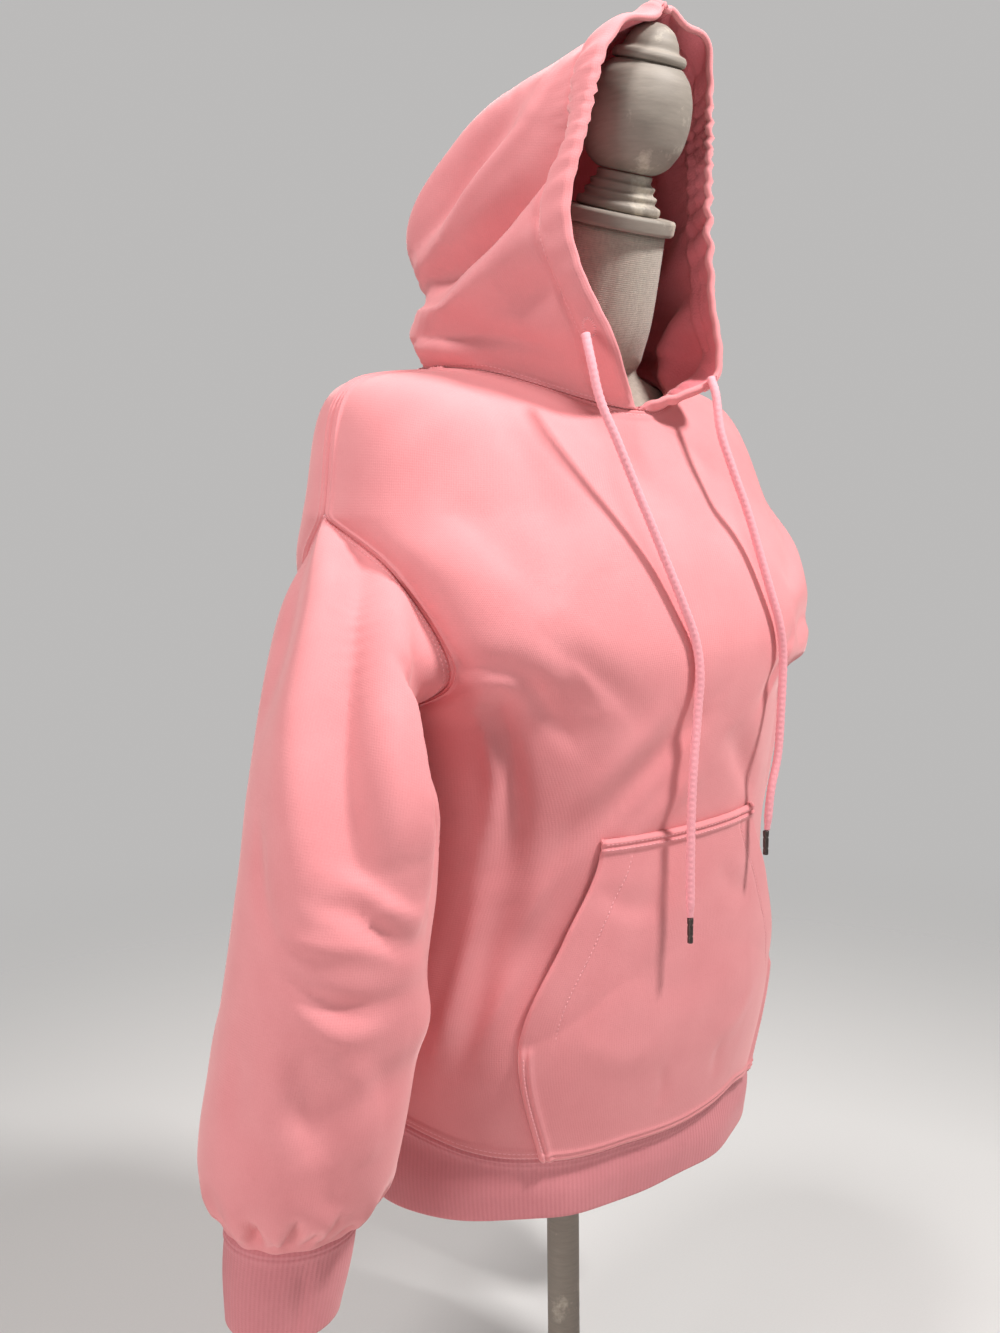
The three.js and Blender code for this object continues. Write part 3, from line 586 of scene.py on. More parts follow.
@dataclass
class Finishes:
    """Every finish of the object, made once."""

    fleece: bpy.types.Material = field(default_factory=FLEECE.material)
    fleece_back: bpy.types.Material = field(default_factory=BRUSHED.material)
    rib: bpy.types.Material = field(default_factory=RIB_KNIT.material)
    cord: bpy.types.Material = field(default_factory=CORD_COTTON.material)
    thread: bpy.types.Material = field(default_factory=SEWING.material)
    metal: bpy.types.Material = field(default_factory=CrimpedMetal().material)
    linen: bpy.types.Material = field(default_factory=FormCloth().material)
    wood: bpy.types.Material = field(default_factory=PaintedWood().material)


# ---- meshes ----
def link(name: str, mesh: bpy.types.Mesh) -> bpy.types.Object:
    """Puts a mesh in the scene as a named object.

    Args:
        name: What to call it.
        mesh: Its mesh.
    Returns:
        The new object.
    """
    piece = bpy.data.objects.new(name, mesh)
    bpy.context.scene.collection.objects.link(piece)
    return piece


def grid_quads(rows: int, columns: int, wraps: bool = True) -> np.ndarray:
    """The quads of a grid of points.

    Args:
        rows: How many rows it has.
        columns: How many points each row has.
        wraps: Whether each row closes on itself.
    Returns:
        The corners of each quad, as places in the grid.
    """
    spans = columns if wraps else columns - 1
    i, j = np.meshgrid(np.arange(rows - 1), np.arange(spans), indexing="ij")
    a, b = (i * columns + j).ravel(), (i * columns + (j + 1) % columns).ravel()
    return np.stack([a, b, b + columns, a + columns], 1)


def smooth_mesh(
    name: str, points: np.ndarray, faces: list[list[int]], *materials: bpy.types.Material
) -> bpy.types.Mesh:
    """A smooth-shaded mesh.

    Args:
        name: What to call it.
        points: Its points, in mm above the floor.
        faces: The corners of each face.
        materials: Its materials, the first for every face.
    Returns:
        The new mesh.
    """
    mesh = bpy.data.meshes.new(name)
    mesh.from_pydata((points.reshape(-1, 3) * MM).tolist(), [], faces)
    for material in materials:
        mesh.materials.append(material)
    mesh.polygons.foreach_set("use_smooth", np.ones(len(faces), bool))
    return mesh


def stand_in(piece: bpy.types.Object, node: str) -> None:
    """Makes a piece ride the one body in place of a node.

    Args:
        piece: The piece.
        node: The frame's node that it replaces.
    """
    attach(piece, "root")
    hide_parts(node)


# ---- cloth shells ----
@dataclass(frozen=True)
class Crease:
    """A soft trough (negative height) or ridge, laid through points of a panel's chart.

    The front and back are charted by (x, height), a sleeve by (turn, height) and a hood half by
    (y, height). skew makes one flank steeper than the other.
    """

    path: tuple[tuple[float, float], ...]
    width: float
    height: float
    skew: float = 0.0


def laid(*rows: tuple) -> tuple[Crease, ...]:
    """Creases from rows of path, width, height and skew."""
    return tuple(Crease(*row) for row in rows)


def seam_relief(reach: np.ndarray, welt: float = 1.0) -> np.ndarray:
    """Height beside a coverstitched seam: two round ridges with the needle lines between them.

    Args:
        reach: Distance from the seam, in mm.
        welt: Height of the ridges.
    Returns:
        The height at each point, in mm; nothing at the seam itself, where two panels meet.
    """
    lift = 0.4 * welt * (smooth(reach, 0.5, 1.5) - smooth(reach, 8.0, 10.4))
    ridges = sum(np.exp(-(((reach - row) / RIDGE_WIDTH) ** 2)) for row in SEAM_ROWS)
    return lift + 1.25 * welt * ridges * smooth(reach, 0.0, 1.2)


@dataclass
class Shell:
    """A cloth panel as a fine grid of its outer points, in mm above the hem's lower edge.

    wraps closes it into a tube, turned is for a grid whose own normal points inward, and creases
    fade out at the sewn edges.
    """

    name: str
    outer: np.ndarray
    wraps: bool = False
    turned: bool = False
    chart: np.ndarray | None = None
    chart_scale: tuple[float, float] = (1.0, 1.0)
    sewn: tuple[Edge, ...] = ()

    def normals(self) -> np.ndarray:
        """The outward unit normal at each point.

        Returns:
            The normals, in the shape of the grid.
        """
        grid = self.outer
        if self.wraps:
            across = np.roll(grid, -1, axis=1) - np.roll(grid, 1, axis=1)
        else:
            across = np.gradient(grid, axis=1)
        normal = np.cross(across, np.gradient(grid, axis=0))
        normal /= np.maximum(np.linalg.norm(normal, axis=2, keepdims=True), 1e-9)
        return -normal if self.turned else normal

    def lift(self, height: np.ndarray) -> None:
        """Moves every point out by height, in mm."""
        self.outer = self.outer + self.normals() * height[..., None]

    def reach(self, edge: Edge) -> np.ndarray:
        """Distance of each point from an edge, along the grid.

        Args:
            edge: The edge to measure from.
        Returns:
            The distances, in mm.
        """
        axis = edge.axis
        steps = np.linalg.norm(np.diff(self.outer, axis=axis), axis=2)
        run = np.cumsum(steps, axis=axis)
        run = np.concatenate([np.zeros_like(np.take(run, [0], axis)), run], axis)
        if edge.far:
            run = np.take(run, [-1], axis) - run
        return run

    def line(self, edge: Edge, distance: float) -> tuple[np.ndarray, np.ndarray]:
        """A line on the shell at a distance from an edge.

        Args:
            edge: The edge that the line follows.
            distance: Its distance from that edge, in mm.
        Returns:
            The line's points and their normals.
        """
        reach, normals, grid = self.reach(edge), self.normals(), self.outer
        if edge.axis == 0:
            reach, normals, grid = reach.T, normals.transpose(1, 0, 2), grid.transpose(1, 0, 2)
        points, ups = [], []
        for row, point, normal in zip(reach, grid, normals):
            if edge.far:
                row, point, normal = row[::-1], point[::-1], normal[::-1]
            if row[-1] < distance:
                continue
            points.append([np.interp(distance, row, point[:, k]) for k in range(3)])
            ups.append([np.interp(distance, row, normal[:, k]) for k in range(3)])
        if self.wraps and edge.axis == 0:
            points.append(points[0])
            ups.append(ups[0])
        return np.array(points), np.array(ups)

    def on_chart(self, path: tuple[tuple[float, float], ...]) -> np.ndarray:
        """A line over the shell, through its points nearest to chart points.

        Args:
            path: The chart points.
        Returns:
            Points close together along the line.
        """
        scale = np.array(self.chart_scale)
        flat = self.chart.reshape(-1, 2) * scale
        points = self.outer.reshape(-1, 3)
        found = np.array([points[((flat - np.array(p) * scale) ** 2).sum(1).argmin()] for p in path])
        last = len(found) - 1
        return spline(found, np.linspace(0, last, CREASE_STEPS * last + 1))

    def crease(self, creases: tuple[Crease, ...]) -> None:
        """Lays creases into the shell, each fading towards its ends and into the seams.

        Args:
            creases: The creases, which add up where they cross.
        """
        normals = self.normals()
        height = np.zeros(self.outer.shape[:2])
        flat, ups = self.outer.reshape(-1, 3), normals.reshape(-1, 3)
        for crease in creases:
            line = self.on_chart(crease.path)
            box = 3 * crease.width
            near = ((flat > line.min(0) - box) & (flat < line.max(0) + box)).all(1)
            index = np.where(near)[0]
            if not len(index):
                continue
            away = flat[index][:, None] - line[None]
            nearest = (away**2).sum(2).argmin(1)
            away = away[np.arange(len(index)), nearest]
            tangent = np.gradient(line, axis=0)[nearest]
            side = (np.cross(tangent, away) * ups[index]).sum(1)
            along = nearest / (len(line) - 1)
            width = crease.width * np.where(side > 0, 1 + crease.skew, 1 - crease.skew)
            width = width * (0.75 + 0.5 * along)
            distance = np.linalg.norm(away, axis=1) / width
            fade = np.sin(math.pi * np.clip(along, 0.02, 0.98)) ** 0.6
            np.add.at(height.reshape(-1), index, crease.height * fade * np.exp(-(distance**2)))
        for edge in self.sewn:
            height = height * smooth(self.reach(edge), 0.0, SEAM_FADE)
        self.lift(height)

    def area(self) -> float:
        """Measures the cloth.

        Returns:
            Its area, in square metres.
        """
        grid = np.concatenate([self.outer, self.outer[:, :1]], 1) if self.wraps else self.outer
        one = np.cross(grid[1:, 1:] - grid[:-1, :-1], grid[1:, :-1] - grid[:-1, 1:])
        return float(np.linalg.norm(one, axis=2).sum()) / 2 * MM * MM

    def build(
        self, wall: np.ndarray | float, face: bpy.types.Material, back: bpy.types.Material
    ) -> bpy.types.Object:
        """Makes the closed wall.

        Args:
            wall: Its thickness at each point, in mm.
            face: The material of the outside and the rims.
            back: The material of the inside.
        Returns:
            The new object.
        """
        rows, columns = self.outer.shape[:2]
        wall = np.broadcast_to(np.asarray(wall, float), (rows, columns))
        self._meet()
        inner = self.outer - self.normals() * wall[..., None]
        points = [self.outer.reshape(-1, 3), inner.reshape(-1, 3)]
        quads = grid_quads(rows, columns, self.wraps)
        inside = rows * columns
        faces = [quads, (quads + inside)[:, ::-1]]
        source = [np.arange(inside), np.arange(inside)]
        for edge in (Edge.START, Edge.END) if self.wraps else Edge:
            line, rim = self._rim(edge, inner)
            size = len(line)
            count = sum(len(more) for more in points)
            bands = [line, *(count + k * size + np.arange(size) for k in range(len(rim))), line + inside]
            points += list(rim)
            source += [line] * len(rim)
            first = np.arange(size if self.wraps else size - 1)
            second = (first + 1) % size
            flip = 1 if edge in (Edge.START, Edge.RIGHT) else -1
            for upper, lower in zip(bands[:-1], bands[1:]):
                band = np.stack([upper[first], lower[first], lower[second], upper[second]], 1)
                faces.append(band[:, ::flip])
        faces = np.concatenate(faces)
        if self.turned:
            faces = faces[:, ::-1]
        mesh = smooth_mesh(self.name, np.concatenate(points) + FLOOR_TO_HEM, faces.tolist(), face, back)
        slots = np.zeros(len(faces), np.int32)
        slots[len(quads) : 2 * len(quads)] = 1
        mesh.polygons.foreach_set("material_index", slots)
        self._chart_uv(mesh, np.concatenate(source))
        mesh.update()
        return link(self.name, mesh)

    def solid(self, material: bpy.types.Material) -> bpy.types.Object:
        """Makes the outer surface alone, for a closed form whose end rows meet in points.

        Args:
            material: Its finish.
        Returns:
            The new object.
        """
        rows, columns = self.outer.shape[:2]
        points = self.outer.reshape(-1, 3) + FLOOR_TO_HEM
        mesh = smooth_mesh(self.name, points, grid_quads(rows, columns).tolist(), material)
        self._chart_uv(mesh, np.arange(rows * columns))
        mesh.update()
        return link(self.name, mesh)

    def _outward(self, edge: Edge) -> tuple[int, np.ndarray]:
        """Which way an edge faces, out of the panel.

        Args:
            edge: The edge.
        Returns:
            Its place along its axis, and the way out at each of its points.
        """
        last, inner = (-1, -3) if edge.far else (0, 2)
        away = np.take(self.outer, last, edge.axis) - np.take(self.outer, inner, edge.axis)
        away /= np.maximum(np.linalg.norm(away, axis=1, keepdims=True), 0.3)
        return last, away

    def _rim(self, edge: Edge, inner: np.ndarray) -> tuple[np.ndarray, np.ndarray]:
        """The rounded rim at one edge; a sewn edge has none, because it meets its neighbour.

        Args:
            edge: The edge.
            inner: The points of the inside.
        Returns:
            The places of the edge's points in the grid, and RIM_STEPS rows of points round the rim.
        """
        rows, columns = self.outer.shape[:2]
        last, away = self._outward(edge)
        line = np.take(np.arange(rows * columns).reshape(rows, columns), last, edge.axis)
        if edge in self.sewn:
            return line, np.zeros((0, len(line), 3))
        top, low = np.take(self.outer, last, edge.axis), np.take(inner, last, edge.axis)
        half = (top - low) / 2
        bulge = 0.8 * np.linalg.norm(half, axis=1, keepdims=True)
        if not self.wraps:
            place = np.arange(len(line))
            bulge = bulge * np.clip(np.minimum(place, place[::-1]) / 3, 0, 1)[:, None]
        turns = math.pi * np.arange(1, RIM_STEPS + 1) / (RIM_STEPS + 1)
        return line, np.array([low + half + half * math.cos(t) + away * bulge * math.sin(t) for t in turns])

    def _meet(self) -> None:
        """Brings each sewn edge out by SEAM_MEET, so that no slit shows between two sewn panels."""
        grid = self.outer.copy()
        for edge in self.sewn:
            last, away = self._outward(edge)
            moved = np.take(self.outer, last, edge.axis) + away * SEAM_MEET
            if edge.axis == 0:
                grid[last] = moved
            else:
                grid[:, last] = moved
        self.outer = grid

    def _chart_uv(self, mesh: bpy.types.Mesh, source: np.ndarray) -> None:
        """Lays the cloth's own threads out as a UV map, in metres across and along the panel.

        Args:
            mesh: The mesh of the panel, made of quads alone.
            source: The place in the grid that each of its points comes from.
        """
        columns = self.outer.shape[1]
        grid = np.concatenate([self.outer, self.outer[:, :1]], 1) if self.wraps else self.outer
        across = np.linalg.norm(np.diff(grid, axis=1), axis=2).mean(0)
        along = np.linalg.norm(np.diff(grid, axis=0), axis=2).mean(1)
        u = np.concatenate([[0], np.cumsum(across)]) * MM
        v = np.concatenate([[0], np.cumsum(along)]) * MM
        loops = np.empty(len(mesh.loops), np.int64)
        mesh.loops.foreach_get("vertex_index", loops)
        column, row = source[loops] % columns, source[loops] // columns
        across_u = u[column]
        if self.wraps:
            quads = column.reshape(-1, 4)
            closing = np.repeat((quads.max(1) == columns - 1) & (quads.min(1) == 0), 4)
            across_u = np.where(closing & (column == 0), u[-1], across_u)
        layer = mesh.uv_layers.new(name="threads")
        layer.data.foreach_set("uv", np.stack([across_u, v[row]], 1).ravel())


def ring_points(ring: tuple[float, ...], side: int, turn: np.ndarray) -> np.ndarray:
    """Points of a sleeve ring: turn 0 is outside and a quarter is the front.

    Args:
        ring: x, y, height, half width, half depth and tilt.
        side: -1 for the right sleeve and 1 for the left.
        turn: Places round the ring, in turns.
    Returns:
        The points.
    """
    x, y, z, across, deep, tilt = ring
    angle = 2 * math.pi * turn
    out = across * np.cos(angle)
    tilt = math.radians(tilt)
    return np.stack(
        [side * (x + out * math.cos(tilt)), y - deep * np.sin(angle), z + out * math.sin(tilt)], 1
    )


def fold_height(
    folds: tuple[tuple[float, ...], ...], u: np.ndarray, v: np.ndarray, turns: bool = False
) -> np.ndarray:
    """Height of the garment's large soft folds at grid places.

    Args:
        folds: Each fold's u0, v0, u1, v1, width and height.
        u: Places across, from 0 to 1.
        v: Places along, from 0 to 1.
        turns: Whether u runs round a tube.
    Returns:
        The heights, in mm.
    """
    total = np.zeros(np.broadcast(u, v).shape)
    for u0, v0, u1, v1, width, height in folds:
        du, dv = u1 - u0, v1 - v0
        from_u = u - u0
        if turns:
            from_u = from_u - np.round(from_u - du / 2)
        near = np.clip((from_u * du + (v - v0) * dv) / (du * du + dv * dv), 0, 1)
        away = np.hypot(from_u - near * du, v - v0 - near * dv) / width
        total = total + height * (0.35 + 0.65 * np.sin(math.pi * near)) * np.exp(-(away**2))
    return total


# Creases of the sleeves (turn, height) and of the hood (y, height).
RIGHT_SLEEVE_CREASES = laid(
    (((0.07, 515), (0.10, 455), (0.11, 380), (0.15, 322), (0.21, 285)), 18, -15.0, 0.0),
    (((0.17, 500), (0.21, 450), (0.215, 395), (0.235, 350), (0.255, 318)), 15, 10.0, 0.0),
    (((0.235, 436), (0.26, 390), (0.28, 340), (0.33, 290)), 9, 8.0, 0.2),
    (((0.005, 520), (0.03, 450), (0.035, 380), (0.07, 310), (0.13, 262)), 22, 7.0, 0.0),
    (((0.20, 438), (0.26, 428), (0.33, 424)), 6, -7.0, 0.2),
    (((0.30, 420), (0.35, 370), (0.42, 318)), 12, -7.0, -0.2),
    (((0.12, 312), (0.19, 303), (0.24, 288), (0.31, 286)), 10, 5.5, -0.4),
    (((0.10, 292), (0.18, 284), (0.25, 268), (0.34, 262)), 9, -4.5, 0.3),
    (((0.05, 276), (0.10, 266), (0.18, 266), (0.26, 258)), 6, 3.0, 0.2),
    (((0.06, 251), (0.13, 238), (0.205, 230), (0.30, 236)), 8, -4.5, -0.2),
    (((0.09, 232), (0.16, 214), (0.24, 212)), 9, 3.2, 0.3),
    (((0.10, 205), (0.137, 163), (0.19, 120)), 16, -6.5, 0.3),
    (((0.20, 196), (0.235, 160), (0.24, 116)), 12, 5.0, -0.2),
    (((0.01, 210), (0.02, 160), (0.06, 112)), 15, -3.0, 0.2),
    (((0.93, 500), (0.95, 420), (0.91, 350)), 16, -5.0, 0.2),
    (((0.98, 330), (0.01, 290), (0.06, 262)), 9, -3.6, 0.2),
    (((0.60, 430), (0.72, 400), (0.82, 352)), 14, -8.0, -0.3),
    (((0.56, 402), (0.68, 366), (0.80, 310)), 11, 6.0, 0.2),
    (((0.58, 322), (0.70, 296), (0.84, 288)), 10, -6.5, 0.2),
    (((0.52, 280), (0.66, 262), (0.80, 256)), 9, 4.5, -0.2),
    (((0.54, 246), (0.68, 226), (0.82, 232)), 9, -5.0, 0.2),
    (((0.62, 200), (0.70, 160), (0.72, 116)), 14, -5.0, 0.2),
    (((0.84, 206), (0.86, 160), (0.82, 112)), 14, 3.6, 0.2),
    (((0.44, 400), (0.47, 330), (0.50, 260)), 11, -5.0, 0.2),
    (((0.40, 220), (0.44, 170), (0.42, 116)), 12, -4.5, 0.2),
)
LEFT_SLEEVE_CREASES = laid(
    (((0.06, 516), (0.13, 452), (0.15, 380)), 14, -5.8, 0.3),
    (((0.20, 430), (0.28, 380), (0.33, 320)), 10, -7.2, -0.2),
    (((0.16, 424), (0.21, 370), (0.27, 310)), 10, 5, 0.2),
    (((0.06, 312), (0.15, 292), (0.28, 300), (0.38, 316)), 9, -7.6, 0.2),
    (((0.05, 292), (0.14, 270), (0.26, 276)), 8, 4.7, -0.2),
    (((0.02, 252), (0.12, 236), (0.24, 246), (0.34, 262)), 9, -6.5, 0.2),
    (((0.14, 206), (0.18, 160), (0.15, 112)), 13, -5, 0.2),
    (((0.26, 210), (0.29, 160), (0.28, 112)), 11, 4.3, -0.2),
    (((0.95, 500), (0.92, 430), (0.94, 356)), 16, -4.7, 0.2),
    (((0.60, 440), (0.72, 404), (0.82, 350)), 13, -7.6, -0.3),
    (((0.57, 408), (0.68, 368), (0.78, 318)), 12, 5.8, 0.2),
    (((0.56, 318), (0.69, 300), (0.84, 286)), 10, -7.6, 0.2),
    (((0.54, 284), (0.66, 266), (0.80, 260)), 9, 5, -0.2),
    (((0.52, 250), (0.66, 230), (0.80, 236)), 9, -5.8, 0.2),
    (((0.60, 204), (0.68, 162), (0.70, 114)), 12, -4.7, 0.2),
    (((0.86, 200), (0.88, 158), (0.84, 112)), 13, -4, 0.2),
    (((0.43, 402), (0.46, 330), (0.49, 262)), 10, -5.4, 0.2),
)
GATHER_WIDTH = 4.2
# Gathers above each cuff seam: turn, length and depth.
RIGHT_GATHERS = (
    (0.03, 22, -2.2), (0.075, 34, -3.2), (0.115, 20, -2.0), (0.15, 40, -3.6), (0.19, 26, -2.6),
    (0.225, 36, -3.2), (0.27, 20, -2.2), (0.315, 30, -2.8), (0.36, 38, -3.2), (0.41, 22, -2.2),
    (0.46, 32, -3.0), (0.52, 24, -2.4), (0.57, 38, -3.4), (0.63, 22, -2.2), (0.68, 32, -3.0),
    (0.74, 20, -2.2), (0.79, 36, -3.2), (0.85, 24, -2.4), (0.90, 34, -3.0), (0.96, 26, -2.4),
)
LEFT_GATHERS = (
    (0.02, 30, -2.8), (0.07, 20, -2.0), (0.12, 36, -3.4), (0.17, 24, -2.4), (0.22, 34, -3.0),
    (0.28, 22, -2.2), (0.33, 38, -3.4), (0.38, 24, -2.4), (0.44, 32, -3.0), (0.50, 20, -2.0),
    (0.55, 34, -3.2), (0.61, 24, -2.4), (0.66, 38, -3.4), (0.72, 22, -2.2), (0.78, 32, -3.0),
    (0.83, 20, -2.2), (0.88, 36, -3.2), (0.94, 24, -2.4),
)
HOOD_RIGHT_CREASES = laid(
    (((80, 732), (30, 728), (-14, 746), (-56, 774), (-84, 806), (-90, 838)), 15, -23.0, 0.4),
    (((84, 722), (34, 719), (-12, 738), (-54, 767), (-80, 796), (-88, 826)), 6, -5.0, 0.3),
    (((74, 704), (26, 700), (-20, 716), (-60, 738), (-82, 762)), 14, 15.0, -0.3),
    (((-50, 700), (-74, 706), (-96, 716)), 18, -5.0, 0.2),
    (((84, 680), (30, 682), (-30, 676), (-80, 664)), 8, -6.0, 0.3),
    (((92, 752), (62, 788), (24, 824), (-26, 862)), 15, 9.0, 0.2),
    (((74, 752), (34, 780), (-4, 814), (-44, 854)), 13, -10.0, -0.2),
    (((34, 758), (-10, 792), (-48, 830), (-70, 872)), 11, 7.0, 0.2),
    (((60, 838), (20, 862), (-30, 884)), 14, -5.0, 0.0),
    (((100, 716), (80, 734), (48, 740)), 11, 5.0, 0.0),
)
HOOD_LEFT_CREASES = laid(
    (((-62, 634), (-58, 662), (-66, 690), (-88, 704)), 13, -17.0, 0.3),
    (((-84, 640), (-88, 664), (-102, 678)), 10, 5.0, 0.0),
    (((84, 728), (36, 712), (-14, 722), (-58, 742), (-88, 770)), 13, -6.8, 0.3),
    (((66, 752), (16, 744), (-28, 752), (-66, 774)), 12, 5.6, -0.2),
    (((90, 692), (30, 684), (-34, 676), (-80, 668)), 10, -5.6, 0.3),
    (((98, 776), (54, 798), (4, 810)), 16, -4.8, 0.2),
    (((80, 820), (34, 846), (-26, 862)), 18, -4, 0.0),
    (((-34, 796), (-56, 836), (-66, 872)), 14, -3.6, 0.2),
)


# ---- topstitching ----
# A stitch's four stations: place along it, rise out of the cloth and thickness, all as shares.
STITCH_STATIONS = ((-0.5, -0.35, 0.35), (-0.28, 0.15, 1.0), (0.28, 0.15, 1.0), (0.5, -0.35, 0.35))
STITCH_FACES = np.concatenate([grid_quads(4, 4), [(3, 2, 1, 0), (12, 13, 14, 15)]])
# A thread's half width and half height on the cloth, as shares of its radius.
STITCH_SECTION = (1.1, 0.8)
# A buttonhole's half width and half height, and the number and length of its stitches.
BUTTONHOLE = (4.4, 7.2)
BUTTONHOLE_STITCHES = 26
BUTTONHOLE_STITCH = 3.0
# The two rows at the pocket's edge, and the row that holds the hood's crown seam.
POCKET_ROWS = (5.7, 10.6)
CROWN_ROW = 3.4


@dataclass
class Stitches:
    """Rows of lockstitch, each stitch a small capsule of thread lying on the cloth."""

    name: str
    length: float = 2.8
    pitch: float = 3.7
    radius: float = 0.42
    points: list[np.ndarray] = field(default_factory=list)
    faces: list[np.ndarray] = field(default_factory=list)
    count: int = 0

    def row(self, line: tuple[np.ndarray, np.ndarray], start: float = 0.0, end: float = 0.0) -> None:
        """Sews one row of stitches.

        Args:
            line: The points and normals that it follows.
            start: Length left bare at the start, in mm.
            end: Length left bare at the end, in mm.
        """
        points, ups = line
        run = np.concatenate([[0], np.cumsum(np.linalg.norm(np.diff(points, axis=0), axis=1))])
        centres = np.arange(start + self.pitch / 2, run[-1] - end - self.pitch / 2, self.pitch)
        for centre in centres:
            self._stitch(run, points, ups, centre)

    def _stitch(self, run: np.ndarray, points: np.ndarray, ups: np.ndarray, centre: float) -> None:
        """Adds one stitch.

        Args:
            run: Distance of each of the row's points from its start, in mm.
            points: The row's points.
            ups: Their normals.
            centre: Distance of the stitch's middle from the row's start.
        """
        places, rises, sizes = np.array(STITCH_STATIONS).T
        at = centre + self.length * places
        spine = np.stack([np.interp(at, run, points[:, k]) for k in range(3)], 1)
        up = np.array([np.interp(centre, run, ups[:, k]) for k in range(3)])
        up /= np.linalg.norm(up)
        tangent = spine[-1] - spine[0]
        tangent /= max(np.linalg.norm(tangent), 1e-9)
        beside = np.cross(tangent, up)
        wide, high = STITCH_SECTION
        ring = []
        for place, rise, size in zip(spine, rises, sizes):
            for k in range(4):
                angle = math.pi / 4 + k * math.pi / 2
                offset = beside * math.cos(angle) * wide + up * math.sin(angle) * high
                ring.append(place + up * rise * self.radius + offset * self.radius * size)
        self.points.append(np.array(ring))
        self.faces.append(STITCH_FACES + self.count)
        self.count += len(ring)

    def buttonhole(self, shell: Shell, exit_point: tuple[float, float, float]) -> None:
        """Sews a close ring of stitches round a cord's exit, long down the channel.

        Args:
            shell: The hood half that it is worked on.
            exit_point: Where the cord comes out.
        """
        flat, normals = shell.outer.reshape(-1, 3), shell.normals().reshape(-1, 3)
        near = ((flat - np.array(exit_point)) ** 2).sum(1).argmin()
        centre, up = flat[near], normals[near]
        down = np.array((0.0, 0.0, -1.0)) - up * -up[2]
        down /= np.linalg.norm(down)
        side = np.cross(up, down)
        across, tall = BUTTONHOLE
        half = BUTTONHOLE_STITCH / 2
        for turn in np.arange(0, 2 * math.pi, 2 * math.pi / BUTTONHOLE_STITCHES):
            spot = centre + side * across * math.cos(turn) + down * tall * math.sin(turn)
            away = side * math.cos(turn) + down * math.sin(turn)
            line = np.array([spot - away * half, spot, spot + away * half])
            found = [((flat - p) ** 2).sum(1).argmin() for p in line]
            line = line + up * ((flat[found] - line) @ up)[:, None]
            self._stitch(np.array((0.0, half, 2 * half)), line, normals[found], half)

    def build(self, material: bpy.types.Material) -> None:
        """Joins every stitch into one object.

        Args:
            material: The thread's finish.
        """
        points = np.concatenate(self.points) + FLOOR_TO_HEM
        mesh = smooth_mesh(self.name, points, np.concatenate(self.faces).tolist(), material)
        mesh.update()
        piece = link(self.name, mesh)
        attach(piece, "root")
        log.info("%s: %d stitches", self.name, len(self.points))


